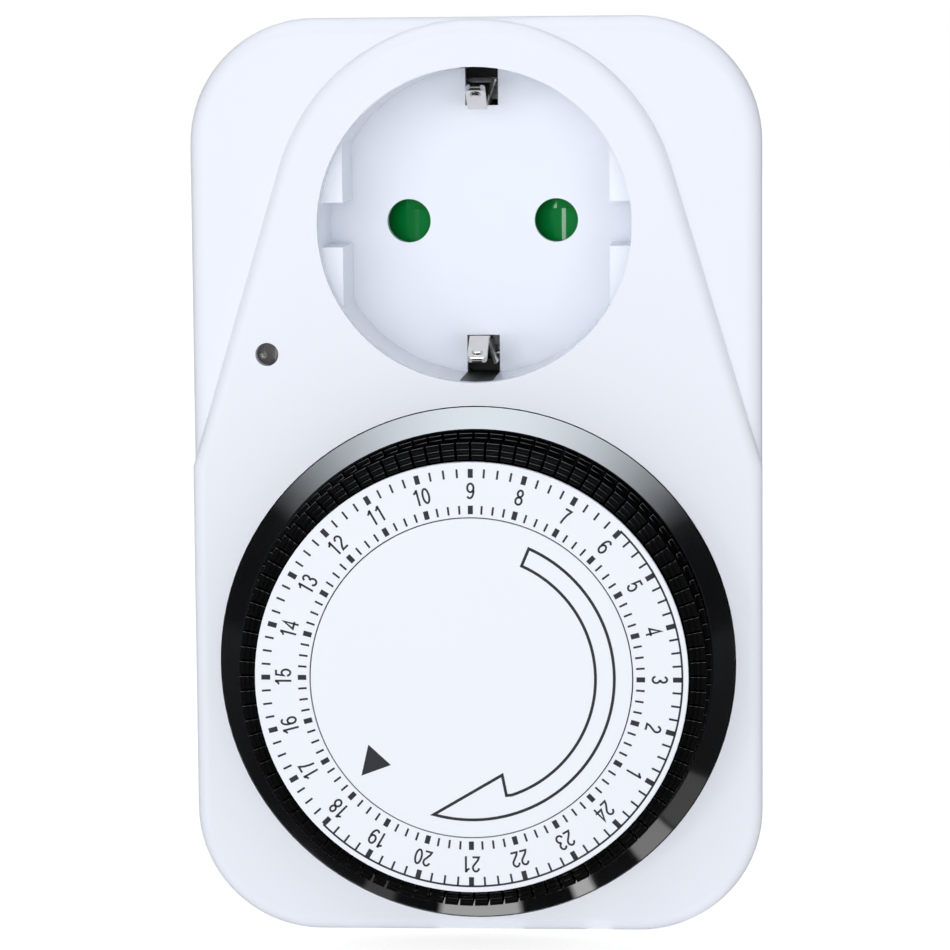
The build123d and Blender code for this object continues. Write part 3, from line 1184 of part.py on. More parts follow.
# ---- override slider ----
def override_slider():
    """Slider inside the left wall, with a ribbed knob in the slot."""
    inner = -HALF_WIDTH + WALL + 0.1
    half = KNOB_WIDTH / 2 + SLIDER_FLANGE
    top = SLIDER_Z + KNOB_HEIGHT / 2 + SLIDER_TRAVEL + 1.2
    bottom = SLIDER_Z - KNOB_HEIGHT / 2 - 1.2
    slider = block(inner, inner + SLIDER_THICKNESS, SLIDER_Y - half, SLIDER_Y + half, bottom, top)
    knob_low, knob_high = SLIDER_Z - KNOB_HEIGHT / 2, SLIDER_Z + KNOB_HEIGHT / 2
    face = -HALF_WIDTH + KNOB_RECESS
    slider += block(
        face, inner + 0.2, SLIDER_Y - KNOB_WIDTH / 2, SLIDER_Y + KNOB_WIDTH / 2, knob_low, knob_high
    )
    for step in (-1, 0, 1):
        z = SLIDER_Z + step * 1.5
        slider -= block(
            face, face + 0.5, SLIDER_Y - KNOB_WIDTH / 2, SLIDER_Y + KNOB_WIDTH / 2, z - 0.3, z + 0.3
        )
    arm_z = LEVER_PIVOT_Z + 4.0 + SLIDER_TRAVEL
    slider += block(
        inner + SLIDER_THICKNESS - 0.1, PLATE_LEFT - 0.5, SLIDER_Y - 0.6, SLIDER_Y + 0.6,
        arm_z - 1, arm_z + 1,
    )
    return slider


# ---- write one STEP file for each piece ----
def pieces():
    made = {
        "front_cover": front_cover(),
        "rear_cover": rear_cover(),
        "plug_body": plug_body(),
        "case_screws": case_screws(),
        "plug_pin_live": plug_pin(-1),
        "plug_pin_neutral": plug_pin(1),
        "socket_insert": socket_insert(),
        "shutter": shutter(),
        "shutter_spring": shutter_spring(),
        "contact_carrier": contact_carrier(),
        "live_contact": live_contact(),
        "neutral_contact": neutral_contact(),
        "earth_strap_top": earth_strap(1),
        "earth_strap_bottom": earth_strap(-1),
        "earth_bridge": earth_bridge(),
        "neon_lamp": neon_lamp(),
        "lamp_resistor": lamp_resistor(),
        "lamp_leads": lamp_leads(),
        "dial_wheel": dial_wheel(),
        "scale_disc": scale_disc(),
        "centre_disc": centre_disc(),
        "dial_clip": dial_clip(),
        "idler_gear": idler_gear(),
        "idler_axle": idler_axle(),
        "motor_pinion": motor_pinion(),
        "motor_lid": motor_lid(),
        "motor_case": motor_case(),
        "motor_coil": motor_coil(),
        "motor_screws": motor_screws(),
        "motor_leads": motor_leads(),
        "movement_plate": movement_plate(),
        "plate_screws": plate_screws(),
        "follower_lever": follower_lever(),
        "lever_pin": lever_pin(),
        "lever_spring": lever_spring(),
        "microswitch_case": microswitch_case(),
        "microswitch_plunger": microswitch_plunger(),
        "switch_terminals": switch_terminals(),
        "switch_screws": switch_screws(),
        "live_in_strip": live_in_strip(),
        "live_out_strip": live_out_strip(),
        "override_slider": override_slider(),
    }
    hours_in_group = 24 * TAPPETS_IN_GROUP // TAPPET_COUNT
    for group in range(TAPPET_COUNT // TAPPETS_IN_GROUP):
        start = 1 + group * hours_in_group
        end = (start + hours_in_group - 1) % 24 + 1
        made[f"tappets_{start:02d}_to_{end:02d}"] = tappet_group(group * TAPPETS_IN_GROUP)
    return made


os.makedirs("parts", exist_ok=True)
for name, piece in pieces().items():
    export_step(piece, f"parts/{name}.step")
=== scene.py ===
import json
from math import cos, radians, sin

import bmesh
import bpy
from mathutils import Matrix, Vector


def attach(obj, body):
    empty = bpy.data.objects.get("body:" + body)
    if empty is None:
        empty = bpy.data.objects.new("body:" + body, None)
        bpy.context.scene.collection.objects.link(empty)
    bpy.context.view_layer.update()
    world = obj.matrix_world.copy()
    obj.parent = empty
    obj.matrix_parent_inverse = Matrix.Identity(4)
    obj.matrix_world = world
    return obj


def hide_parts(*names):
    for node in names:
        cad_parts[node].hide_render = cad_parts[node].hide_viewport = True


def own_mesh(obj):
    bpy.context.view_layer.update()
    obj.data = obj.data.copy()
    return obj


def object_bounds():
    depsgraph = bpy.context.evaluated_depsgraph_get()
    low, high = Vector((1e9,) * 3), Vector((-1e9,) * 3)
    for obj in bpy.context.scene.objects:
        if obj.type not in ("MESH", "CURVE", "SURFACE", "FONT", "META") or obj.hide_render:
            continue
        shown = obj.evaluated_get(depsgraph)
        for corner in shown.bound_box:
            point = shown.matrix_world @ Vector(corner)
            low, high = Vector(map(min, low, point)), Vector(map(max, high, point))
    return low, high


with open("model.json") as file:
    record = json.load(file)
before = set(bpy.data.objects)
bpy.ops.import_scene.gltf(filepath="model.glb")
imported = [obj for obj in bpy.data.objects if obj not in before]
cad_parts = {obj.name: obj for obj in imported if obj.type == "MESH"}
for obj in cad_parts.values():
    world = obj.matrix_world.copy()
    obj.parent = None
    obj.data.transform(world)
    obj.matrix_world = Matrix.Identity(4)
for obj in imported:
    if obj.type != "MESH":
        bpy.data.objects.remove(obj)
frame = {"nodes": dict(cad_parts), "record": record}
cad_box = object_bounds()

MM = 0.001

# Lengths and places of pieces are in millimetres in the frame, with the outlet's axis at
# height 0. Shaders, lamps and the camera are in metres. Angles are in degrees.

# ---- smoothing of the pieces ----
WELD_DISTANCE = 1e-7        # metres within which two corners are one
FLAT_ANGLE = 0.1            # below this two faces are one flat face
SHARP_ANGLE = 35.0          # above this an edge is shown sharp
BEVEL_ANGLE = 40.0          # above this an edge is rounded, on pieces with soft edges
NORMAL_WEIGHT = 90          # how far large faces set the shading of small ones
RIDGE_ANGLES = (15.0, 60.0)
RIDGE_LENGTH = 2.0          # an upright ridge is longer than this
UPRIGHT = 0.99              # share of an edge's length that is height, on an upright edge

# ---- printed discs ----
DIAL_Z = -54.9              # height of the dial's axis
DISC_FRONT = -60.3          # face of the discs
PRINT_LIFT = 0.012          # ink stands this far off the discs
HOURS = 24
HOUR = 360 / HOURS
TOP_HOUR = 9                # the hour at the top of the stored dial
HOUR_OFFSET = 0.3           # the stored dial stands this far past the full hour
MARKS_PER_HOUR = 4
OUTER_MARKS = (24.7, 25.8)  # radii between which the two rows of marks lie
INNER_MARKS = (20.25, 21.3)
HOUR_MARK_WIDTH = 0.62
QUARTER_MARK_WIDTH = 0.25
NIGHT_HOURS = (6, -6)       # the line for the night runs from the morning back to the evening
NIGHT_RADIUS = 25.85
NIGHT_WIDTH = 0.24
NUMERAL_RADIUS = 23.1
NUMERAL_HEIGHT = 2.02
NUMERAL_PITCH = 1.12
NUMERAL_STROKE = 0.25
NUMERAL_SHIFT = 0.03        # share of its height by which a digit stands in from its left

# ---- arrow and time mark on the centre disc, from its middle ----
ARROW_OUTER, ARROW_INNER = 17.55, 15.25
ARROW_TAIL, ARROW_BARB, ARROW_TIP = 24.2, 164.0, 195.6
TAIL_SLANT = 0.2            # the inner end of the tail lies this much further round
HEAD_CORNERS = ((3.75, -11.95), (4.25, -14.5))
ARROW_STROKE = 0.36
TIME_MARK = ((-12.69704, -8.21429), (-9.93842, -10.75123), (-13.58374, -12.0936))

# ---- floor and studio ----
FLOOR_HALF = 4.0
FLOOR_DROP = 0.0002         # gap between the timer's foot and the floor
FLOOR_GLOW = 0.80           # the floor as the camera sees it
FLOOR_BOUNCE = 0.43         # the floor as it lights the timer
FLOOR_IN_GLOSS = 0.05       # share of the floor's own colour that reflections see, which paints the floor dark in reflections
PAINTED_REFLECTIONS = (                   # glowing strips before the foot that only mirror rays see, painted reflections on the dial's lower flank: left, right, glow
    (-0.018, -0.012, 0.25), (-0.006, 0.006, 1.9), (0.013, 0.0172, 2.2), (0.0255, 0.036, 1.0),
    (0.036, 0.056, 0.3),
)
CARD_FRONT, CARD_BACK = -0.070, -0.041
CARD_SIDE_BLUR, CARD_END_BLUR = 0.001, 0.003
PANEL_GLOW = 5.5            # overhead panel, as reflections see it
PANEL_LOW, PANEL_HIGH = 0.45, 0.95
PANEL_POWER = 1.3
ROOM_GLOW = 0.02            # dim room round the panel
ROOM_TINT = (0.86, 0.93, 1.0, 1)
SOFT_LIGHT = 0.54           # even light that falls on every side
LAMP_TARGET = (0, -0.04, -0.03)

# ---- camera ----
CAMERA_PLACE = (0.0307, -0.5147, 0.0175)
CAMERA_PAN, CAMERA_TILT, CAMERA_ROLL = 0.0659, -0.1036, 0.0083      # radians
LENS_LENGTH = 142.59        # millimetres, on a sensor 36 wide
SENSOR_WIDTH = 36.0

WHITE = (1.0, 1.0, 1.0, 1)
BLACK = (0.0, 0.0, 0.0, 1)


# ---------------------------------------------------------------------------
# Shader groups, shared by the materials
# ---------------------------------------------------------------------------
class Nodes:
    """Short way to add nodes and links to one node tree."""

    def __init__(self, tree):
        self.tree = tree

    def add(self, kind, **settings):
        node = self.tree.nodes.new(kind)
        for name, value in settings.items():
            setattr(node, name, value)
        return node

    def link(self, source, target):
        self.tree.links.new(source, target)

    def put(self, socket, value):
        """Links or sets a socket, whichever the value is for."""
        if isinstance(value, bpy.types.NodeSocket):
            self.link(value, socket)
        else:
            socket.default_value = value

    def place(self, kind="Object"):
        return self.add("ShaderNodeTexCoord").outputs[kind]

    def split(self, vector):
        node = self.add("ShaderNodeSeparateXYZ")
        self.link(vector, node.inputs[0])
        return node.outputs

    def noise(self, vector, scale, detail=3.0, roughness=0.5):
        node = self.add("ShaderNodeTexNoise")
        self.put(node.inputs["Vector"], vector)
        self.put(node.inputs["Scale"], scale)
        node.inputs["Detail"].default_value = detail
        node.inputs["Roughness"].default_value = roughness
        return node.outputs["Fac"]

    def remap(self, value, low, high, to_low, to_high):
        node = self.add("ShaderNodeMapRange")
        for name, given in (
            ("Value", value), ("From Min", low), ("From Max", high),
            ("To Min", to_low), ("To Max", to_high),
        ):
            self.put(node.inputs[name], given)
        return node.outputs["Result"]

    def math(self, operation, a, b=0.0):
        node = self.add("ShaderNodeMath", operation=operation)
        self.put(node.inputs[0], a)
        self.put(node.inputs[1], b)
        return node.outputs[0]

    def mix(self, factor, a, b):
        node = self.add("ShaderNodeMix", data_type="RGBA")
        self.put(node.inputs["Factor"], factor)
        self.put(node.inputs["A"], a)
        self.put(node.inputs["B"], b)
        return node.outputs["Result"]

    def bump(self, height, distance, strength, under=None):
        """A raised surface, on top of another one's normal where that is given."""
        node = self.add("ShaderNodeBump")
        node.inputs["Distance"].default_value = distance
        self.put(node.inputs["Strength"], strength)
        self.link(height, node.inputs["Height"])
        if under is not None:
            self.link(under, node.inputs["Normal"])
        return node.outputs["Normal"]


FLOAT, COLOUR, VECTOR = "NodeSocketFloat", "NodeSocketColor", "NodeSocketVector"


def new_group(name, inputs, outputs):
    """An empty shader group; inputs are (name, kind, default) and outputs (name, kind)."""
    tree = bpy.data.node_groups.new(name, "ShaderNodeTree")
    for label, kind, default in inputs:
        socket = tree.interface.new_socket(label, in_out="INPUT", socket_type=kind)
        socket.default_value = default
    for label, kind in outputs:
        tree.interface.new_socket(label, in_out="OUTPUT", socket_type=kind)
    nodes = Nodes(tree)
    given, out = nodes.add("NodeGroupInput"), nodes.add("NodeGroupOutput")
    return tree, nodes, given.outputs, out.inputs


def moulded_skin_group():
    """Injection-moulded plastic: fine spark texture, soft sink waves, uneven gloss."""
    wave_scale, gloss_scale = 60.0, 120.0
    wave_height, grain_height = 0.0006, 0.00003
    tree, n, given, out = new_group(
        "moulded skin",
        [("Grain Size", FLOAT, 9000.0), ("Grain Depth", FLOAT, 0.05), ("Wave Depth", FLOAT, 0.05),
         ("Roughness", FLOAT, 0.3), ("Gloss Spread", FLOAT, 0.05)],
        [("Roughness", FLOAT), ("Normal", VECTOR)],
    )
    place = n.place()
    grain = n.noise(place, given["Grain Size"], detail=2.0, roughness=0.6)
    wave = n.noise(place, wave_scale, detail=1.0, roughness=0.4)
    patches = n.noise(place, gloss_scale, detail=3.0, roughness=0.6)
    spread = n.math("MULTIPLY", n.remap(patches, 0.3, 0.7, -1.0, 1.0), given["Gloss Spread"])
    n.link(n.math("ADD", given["Roughness"], spread), out["Roughness"])
    coarse = n.bump(wave, wave_height, given["Wave Depth"])
    n.link(n.bump(grain, grain_height, given["Grain Depth"], under=coarse), out["Normal"])
    return tree


def settled_dust_group():
    """Faint dust and finger marks: lightens or darkens a colour in soft patches."""
    speck_scale = 2600.0
    tree, n, given, out = new_group(
        "settled dust",
        [("Color", COLOUR, (1, 1, 1, 1)), ("Dust Color", COLOUR, (0.5, 0.5, 0.5, 1)),
         ("Amount", FLOAT, 0.05), ("Patch Size", FLOAT, 90.0)],
        [("Color", COLOUR)],
    )
    place = n.place()
    patches = n.noise(place, given["Patch Size"], detail=5.0, roughness=0.62)
    specks = n.noise(place, speck_scale, detail=1.0, roughness=0.5)
    soft = n.remap(patches, 0.45, 0.75, 0.0, 1.0)
    sharp = n.remap(specks, 0.66, 0.72, 0.0, 0.6)
    mask = n.math("MULTIPLY", n.math("ADD", soft, sharp), given["Amount"])
    n.link(n.mix(mask, given["Color"], given["Dust Color"]), out["Color"])
    return tree


def drawn_metal_group():
    """Rolled or turned metal: fine lines along one axis, tarnish in patches."""
    line_scale, tarnish_scale = 1500.0, 260.0
    line_height = 0.00004
    tarnish_roughness = 0.4
    tree, n, given, out = new_group(
        "drawn metal",
        [("Color", COLOUR, (0.7, 0.7, 0.7, 1)), ("Tarnish", COLOUR, (0.4, 0.36, 0.3, 1)),
         ("Tarnish Amount", FLOAT, 0.15), ("Stretch", VECTOR, (1.0, 1.0, 1.0)),
         ("Line Depth", FLOAT, 0.15), ("Roughness", FLOAT, 0.25)],
        [("Color", COLOUR), ("Roughness", FLOAT), ("Normal", VECTOR)],
    )
    place = n.place()
    scaled = n.add("ShaderNodeVectorMath", operation="MULTIPLY")
    n.link(place, scaled.inputs[0])
    n.link(given["Stretch"], scaled.inputs[1])
    lines = n.noise(scaled.outputs["Vector"], line_scale, detail=3.0, roughness=0.6)
    patches = n.noise(place, tarnish_scale, detail=4.0, roughness=0.6)
    mask = n.math("MULTIPLY", n.remap(patches, 0.4, 0.75, 0.0, 1.0), given["Tarnish Amount"])
    n.link(n.mix(mask, given["Color"], given["Tarnish"]), out["Color"])
    rough = n.math("ADD", given["Roughness"], n.remap(lines, 0.3, 0.7, -0.06, 0.08))
    n.link(n.math("ADD", rough, n.math("MULTIPLY", mask, tarnish_roughness)), out["Roughness"])
    n.link(n.bump(lines, line_height, given["Line Depth"]), out["Normal"])
    return tree


MOULDED_SKIN = moulded_skin_group()
SETTLED_DUST = settled_dust_group()
DRAWN_METAL = drawn_metal_group()


# ---------------------------------------------------------------------------
# Materials
# ---------------------------------------------------------------------------
def new_material(name):
    material = bpy.data.materials.new(name)
    material.use_nodes = True
    return material, Nodes(material.node_tree), material.node_tree.nodes["Principled BSDF"]


def nodes_of(material):
    """The nodes and the shader of a material that is there already."""
    return Nodes(material.node_tree), material.node_tree.nodes["Principled BSDF"]


def set_shader(shader, **values):
    """Sets the shader's own sockets; underscores in the names stand for spaces."""
    for name, value in values.items():
        shader.inputs[name.replace("_", " ")].default_value = value


def place_group(n, tree, **values):
    """Puts a group in a material and sets its sockets, named as in set_shader."""
    node = n.add("ShaderNodeGroup")
    node.node_tree = tree
    set_shader(node, **values)
    return node


def plastic(name, colour, roughness, grain=0.05, wave=0.05, dust=0.04,
            dust_colour=(0.55, 0.53, 0.5), spread=0.04, coat=0.0, ior=1.5):
    """Moulded plastic with a fine surface texture, uneven gloss and a trace of dust."""
    material, n, shader = new_material(name)
    skin = place_group(n, MOULDED_SKIN, Grain_Depth=grain, Wave_Depth=wave, Roughness=roughness,
                       Gloss_Spread=spread)
    cover = place_group(n, SETTLED_DUST, Color=(*colour, 1), Dust_Color=(*dust_colour, 1),
                        Amount=dust)
    n.link(cover.outputs["Color"], shader.inputs["Base Color"])
    n.link(skin.outputs["Roughness"], shader.inputs["Roughness"])
    n.link(skin.outputs["Normal"], shader.inputs["Normal"])
    set_shader(shader, IOR=ior, Coat_Weight=coat, Coat_Roughness=0.08)
    return material


def metal(name, colour, tarnish, amount, roughness, stretch=(1, 1, 1)):
    """Bare or plated metal with fine lines and a little tarnish."""
    material, n, shader = new_material(name)
    look = place_group(n, DRAWN_METAL, Color=(*colour, 1), Tarnish=(*tarnish, 1),
                       Tarnish_Amount=amount, Stretch=stretch, Roughness=roughness)
    n.link(look.outputs["Color"], shader.inputs["Base Color"])
    n.link(look.outputs["Roughness"], shader.inputs["Roughness"])
    n.link(look.outputs["Normal"], shader.inputs["Normal"])
    set_shader(shader, Metallic=1.0)
    return material


def wound_copper():
    """Enamelled winding: turns of fine wire side by side along the coil."""
    turns_scale, unevenness, wire_height = 1200.0, 1.2, 0.00012
    material = metal("wound copper", (0.72, 0.30, 0.13), (0.35, 0.12, 0.05), amount=0.5,
                     roughness=0.3)
    n, shader = nodes_of(material)
    wave = n.add("ShaderNodeTexWave", wave_type="BANDS", bands_direction="Y")
    n.link(n.place(), wave.inputs["Vector"])
    wave.inputs["Scale"].default_value = turns_scale
    wave.inputs["Distortion"].default_value = unevenness
    n.link(n.bump(wave.outputs["Fac"], wire_height, strength=0.8), shader.inputs["Normal"])
    return material


def banded_lacquer():
    """Resistor lacquer with four coloured rings round its length."""
    centre = -24.95                     # height of the resistor's middle
    inside, outside = 0.26, 0.3         # a ring fades between these distances from its middle
    brown, black = (0.10, 0.04, 0.02), (0.02, 0.02, 0.02)
    yellow, gold = (0.75, 0.45, 0.02), (0.65, 0.45, 0.12)
    material = plastic("banded lacquer", (0.62, 0.47, 0.28), roughness=0.25, coat=0.4)
    n, shader = nodes_of(material)
    height = n.split(n.place())["Z"]
    colour = shader.inputs["Base Color"].links[0].from_socket
    for offset, ring in ((1.9, brown), (0.9, black), (0.0, yellow), (-1.7, gold)):
        away = n.math("ABSOLUTE", n.math("SUBTRACT", height, (centre + offset) * MM))
        mask = n.remap(away, inside * MM, outside * MM, 1.0, 0.0)
        colour = n.mix(mask, colour, (*ring, 1))
    n.link(colour, shader.inputs["Base Color"])
    return material


def tappet_black():
    """Black plastic, polished on its front and its edges and dull on its side walls."""
    polished, dull = -0.45, -0.2        # how far forward a face looks, from -1, straight ahead
    material = plastic("tappet black", (0.002, 0.002, 0.0022), roughness=0.5, grain=0.03,
                       wave=0.02, dust=0.01, dust_colour=(0.14, 0.14, 0.14), ior=1.2)
    n, shader = nodes_of(material)
    ahead = n.split(n.add("ShaderNodeNewGeometry").outputs["Normal"])["Y"]
    n.link(n.remap(ahead, polished, dull, 1.0, 0.0), shader.inputs["Coat Weight"])
    set_shader(shader, Coat_Roughness=0.06, Coat_IOR=1.5, Specular_IOR_Level=0.0)
    return material


def lamp_glass():
    """Clear bulb glass, slightly uneven."""
    material, n, shader = new_material("lamp glass")
    skin = place_group(n, MOULDED_SKIN, Grain_Depth=0.0, Wave_Depth=0.15, Roughness=0.06,
                       Gloss_Spread=0.02)
    cover = place_group(n, SETTLED_DUST, Color=(0.86, 0.80, 0.78, 1), Amount=0.1)
    n.link(cover.outputs["Color"], shader.inputs["Base Color"])
    n.link(skin.outputs["Roughness"], shader.inputs["Roughness"])
    n.link(skin.outputs["Normal"], shader.inputs["Normal"])
    set_shader(shader, Transmission_Weight=0.9, IOR=1.48)
    return material


CASE_WHITE = plastic("case white", (0.80, 0.83, 0.91), roughness=0.42, grain=0.03, wave=0.02,
                     dust=0.02, dust_colour=(0.68, 0.69, 0.72), ior=1.42)
# the insert's white is paler and bluer than the case's: partly its own bluish tone, partly painted
# light that lifts the shade in the recess
OUTLET_WHITE = plastic("outlet white", (0.85, 0.885, 0.96), roughness=0.24, grain=0.015,
                       wave=0.015, dust=0.015, dust_colour=(0.64, 0.67, 0.72), spread=0.01)
DISC_WHITE = plastic("disc white", (0.81, 0.84, 0.91), roughness=0.42, grain=0.02, wave=0.02,
                     dust=0.015, dust_colour=(0.7, 0.7, 0.72))
INK = plastic("printing ink", (0.028, 0.030, 0.036), roughness=0.45, grain=0.1, wave=0.0,
              dust=0.06, dust_colour=(0.2, 0.2, 0.21))
FLANK_BLACK = plastic("flank black", (0.003, 0.003, 0.0035), roughness=0.12, grain=0.01,
                      wave=0.015, dust=0.01, dust_colour=(0.12, 0.12, 0.12), ior=2.3)
TAPPET_BLACK = tappet_black()
SHUTTER_GREEN = plastic("shutter green", (0.0, 0.19, 0.032), roughness=0.13, grain=0.02,
                        dust=0.01, ior=1.42)
INNER_BLACK = plastic("inner black", (0.012, 0.012, 0.013), roughness=0.45, grain=0.15, dust=0.08)
GEAR_WHITE = plastic("gear white", (0.72, 0.70, 0.60), roughness=0.4, dust=0.05)
LEVER_GREY = plastic("lever grey", (0.18, 0.19, 0.21), roughness=0.42, grain=0.1, dust=0.05)
SLIDER_BLACK = plastic("slider black", (0.010, 0.010, 0.011), roughness=0.38, grain=0.2, dust=0.08)
LEAD_BLUE = plastic("lead blue", (0.02, 0.10, 0.42), roughness=0.35, grain=0.02, dust=0.05)
NICKEL = metal("bright nickel", (0.73, 0.71, 0.67), (0.45, 0.42, 0.37), amount=0.18,
               roughness=0.16, stretch=(6, 0.5, 1))
BRASS = metal("rolled brass", (0.82, 0.60, 0.27), (0.42, 0.26, 0.1), amount=0.3,
              roughness=0.24, stretch=(5, 5, 0.5))
STEEL = metal("zinc steel", (0.63, 0.65, 0.68), (0.42, 0.42, 0.40), amount=0.25, roughness=0.28)
CAN_STEEL = metal("drawn can", (0.60, 0.61, 0.63), (0.38, 0.38, 0.37), amount=0.25,
                  roughness=0.33, stretch=(1, 6, 1))
SPRING_STEEL = metal("spring wire", (0.58, 0.58, 0.59), (0.3, 0.3, 0.3), amount=0.2, roughness=0.2)
LAMP_WIRE = metal("tinned wire", (0.72, 0.72, 0.70), (0.45, 0.45, 0.42), amount=0.3, roughness=0.3)
COPPER = wound_copper()
LACQUER = banded_lacquer()
GLASS = lamp_glass()


# ---------------------------------------------------------------------------
# Pieces
# ---------------------------------------------------------------------------
BODY_OF = {
    node: body for body, members in frame["record"]["behaviour"]["bodies"].items() for node in members
}


def object_from(bm, name):
    mesh = bpy.data.meshes.new(name)
    bm.to_mesh(mesh)
    bm.free()
    made = bpy.data.objects.new(name, mesh)
    bpy.context.scene.collection.objects.link(made)
    return made


def finish_piece(made, material, body):
    """Material, even normals, and the body that the piece rides on."""
    made.data.materials.clear()
    made.data.materials.append(material)
    even = made.modifiers.new("even normals", "WEIGHTED_NORMAL")
    even.keep_sharp = True
    even.weight = NORMAL_WEIGHT
    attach(made, body)
    return made


def crisp(bm, angle):
    """Smooth shading, broken at every edge that turns by more than the angle."""
    for face in bm.faces:
        face.smooth = True
    for edge in bm.edges:
        edge.smooth = edge.is_manifold and edge.calc_face_angle(0) < radians(angle)


def soften_ridges(bm, width):
    """Breaks the upright lines where a ramp meets its flat top, so that they catch the light."""
    low, high = (radians(angle) for angle in RIDGE_ANGLES)
    lines = []
    for edge in bm.edges:
        way = edge.verts[1].co - edge.verts[0].co
        upright = abs(way.z) > UPRIGHT * way.length and way.length > RIDGE_LENGTH * MM
        if upright and low < edge.calc_face_angle(0) < high:
            lines.append(edge)
    bmesh.ops.bevel(bm, geom=lines, offset=width * MM, segments=1, affect="EDGES", clamp_overlap=True)


def round_edges(made, width):
    bevel = made.modifiers.new("soft edges", "BEVEL")
    bevel.width = width * MM
    bevel.segments = 2
    bevel.limit_method = "ANGLE"
    bevel.angle_limit = radians(BEVEL_ANGLE)
    bevel.use_clamp_overlap = False


def dress(node, material, sharp=SHARP_ANGLE, edge=0.0, ridge=0.0):
    """Shows a CAD node through a joined, smooth copy of itself.

    An edge width rounds its edges, and a ridge width breaks its upright ridges.
    """
    bm = bmesh.new()
    bm.from_mesh(frame["nodes"][node].data)
    bmesh.ops.remove_doubles(bm, verts=bm.verts, dist=WELD_DISTANCE)
    bmesh.ops.dissolve_limit(
        bm, angle_limit=radians(FLAT_ANGLE), verts=bm.verts, edges=bm.edges, delimit={"NORMAL"}
    )
    if ridge:
        soften_ridges(bm, ridge)
    crisp(bm, sharp)
    made = object_from(bm, node + "_shown")
    if edge:
        round_edges(made, edge)
    finish_piece(made, material, BODY_OF[node])
    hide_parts(node)
    return made


DRESSED = {
    CASE_WHITE: ["front_cover", "rear_cover", "plug_body"],
    OUTLET_WHITE: ["socket_insert"],
    DISC_WHITE: ["scale_disc", "centre_disc"],
    SHUTTER_GREEN: ["shutter"],
    FLANK_BLACK: ["dial_wheel"],
    INNER_BLACK: ["contact_carrier", "movement_plate", "microswitch_case"],
    GEAR_WHITE: ["idler_gear", "microswitch_plunger"],
    LEVER_GREY: ["follower_lever"],
    SLIDER_BLACK: ["override_slider"],
    LEAD_BLUE: ["motor_leads"],
    NICKEL: ["plug_pin_live", "plug_pin_neutral", "earth_strap_top", "earth_strap_bottom"],
    BRASS: ["live_contact", "neutral_contact", "earth_bridge", "switch_terminals",
            "live_in_strip", "live_out_strip", "motor_pinion"],
    STEEL: ["case_screws", "dial_clip", "idler_axle", "motor_screws", "plate_screws",
            "lever_pin", "switch_screws"],
    CAN_STEEL: ["motor_lid", "motor_case"],
    SPRING_STEEL: ["shutter_spring", "lever_spring"],
    LAMP_WIRE: ["lamp_leads"],
    COPPER: ["motor_coil"],
    LACQUER: ["lamp_resistor"],
    GLASS: ["neon_lamp"],
    TAPPET_BLACK: [node for node in BODY_OF if node.startswith("tappets_")],
}
EDGES = {
    TAPPET_BLACK: {"edge": 0.06},
    SHUTTER_GREEN: {"ridge": 0.3, "sharp": 8.0},
}
SHOWN = {}
for material, nodes in DRESSED.items():
    for node in nodes:
        SHOWN[node] = dress(node, material, **EDGES.get(material, {}))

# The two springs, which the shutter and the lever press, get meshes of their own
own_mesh(SHOWN["shutter_spring"])
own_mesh(SHOWN["lever_spring"])


# ---------------------------------------------------------------------------
# Printing on the discs
# ---------------------------------------------------------------------------
def on_disc(radius, angle):
    """A point on the discs' face; the angle runs clockwise from the top, as seen in front."""
    a = radians(angle)
    return Vector((radius * sin(a), radius * cos(a)))


def round_the_disc(radius, start, end, steps):
    """Points along a circle on the disc, the start left out."""
    return [on_disc(radius, start + (end - start) * i / steps) for i in range(1, steps + 1)]


def flat_patch(bm, points):
    """A flat inked patch through points given in the disc's plane, facing the front."""
    level = (DISC_FRONT - PRINT_LIFT) * MM
    verts = [bm.verts.new((p[0] * MM, level, (DIAL_Z + p[1]) * MM)) for p in points]
    face = bm.faces.new(verts)
    face.normal_update()
    if face.normal.y > 0:
        face.normal_flip()


def mark(bm, angle, radii, width):
    """One radial stroke of the scale."""
    across = Vector((cos(radians(angle)), -sin(radians(angle)))) * (width / 2)
    inner, outer = (on_disc(radius, angle) for radius in radii)
    flat_patch(bm, [inner - across, outer - across, outer + across, inner + across])


def arc_band(bm, radius, width, start, end, step=2.0):
    """A thin curved line on the disc, between two clockwise angles."""
    count = max(1, round(abs(end - start) / step))
    low, high = radius - width / 2, radius + width / 2
    for i in range(count):
        a, b = (start + (end - start) * k / count for k in (i, i + 1))
        flat_patch(bm, [on_disc(low, a), on_disc(high, a), on_disc(high, b), on_disc(low, b)])


def stroke(bm, points, width):
    """A line of even width through points, mitred at its corners."""
    shortest_mitre = 0.35
    closed = (points[0] - points[-1]).length < 1e-6
    path = points[:-1] if closed else points
    count = len(path)
    left, right = [], []
    for i, here in enumerate(path):
        before = path[i - 1] if closed or i > 0 else None
        after = path[(i + 1) % count] if closed or i < count - 1 else None
        ways = [(here - before).normalized()] if before is not None else []
        ways += [(after - here).normalized()] if after is not None else []
        way = sum(ways, Vector((0, 0))).normalized()
        normal = Vector((-way.y, way.x))
        reach = width / 2 / max(shortest_mitre, abs(way.dot(ways[0])))
        left.append(here + normal * reach)
        right.append(here - normal * reach)
    for i in range(count if closed else count - 1):
        j = (i + 1) % count
        flat_patch(bm, [left[i], left[j], right[j], right[i]])


def hour_place(hour):
    """Clockwise angle of an hour's line; the hours count anticlockwise from the top one."""
    return -(hour - TOP_HOUR) * HOUR + HOUR_OFFSET


def arc(x, y, wide, high, start, end):
    """Points along an oval's edge; the degrees run anticlockwise from its right end."""
    steps = max(4, round(abs(end - start) / 15))
    turns = [radians(start + (end - start) * i / steps) for i in range(steps + 1)]
    return [(x + wide * cos(t), y + high * sin(t)) for t in turns]


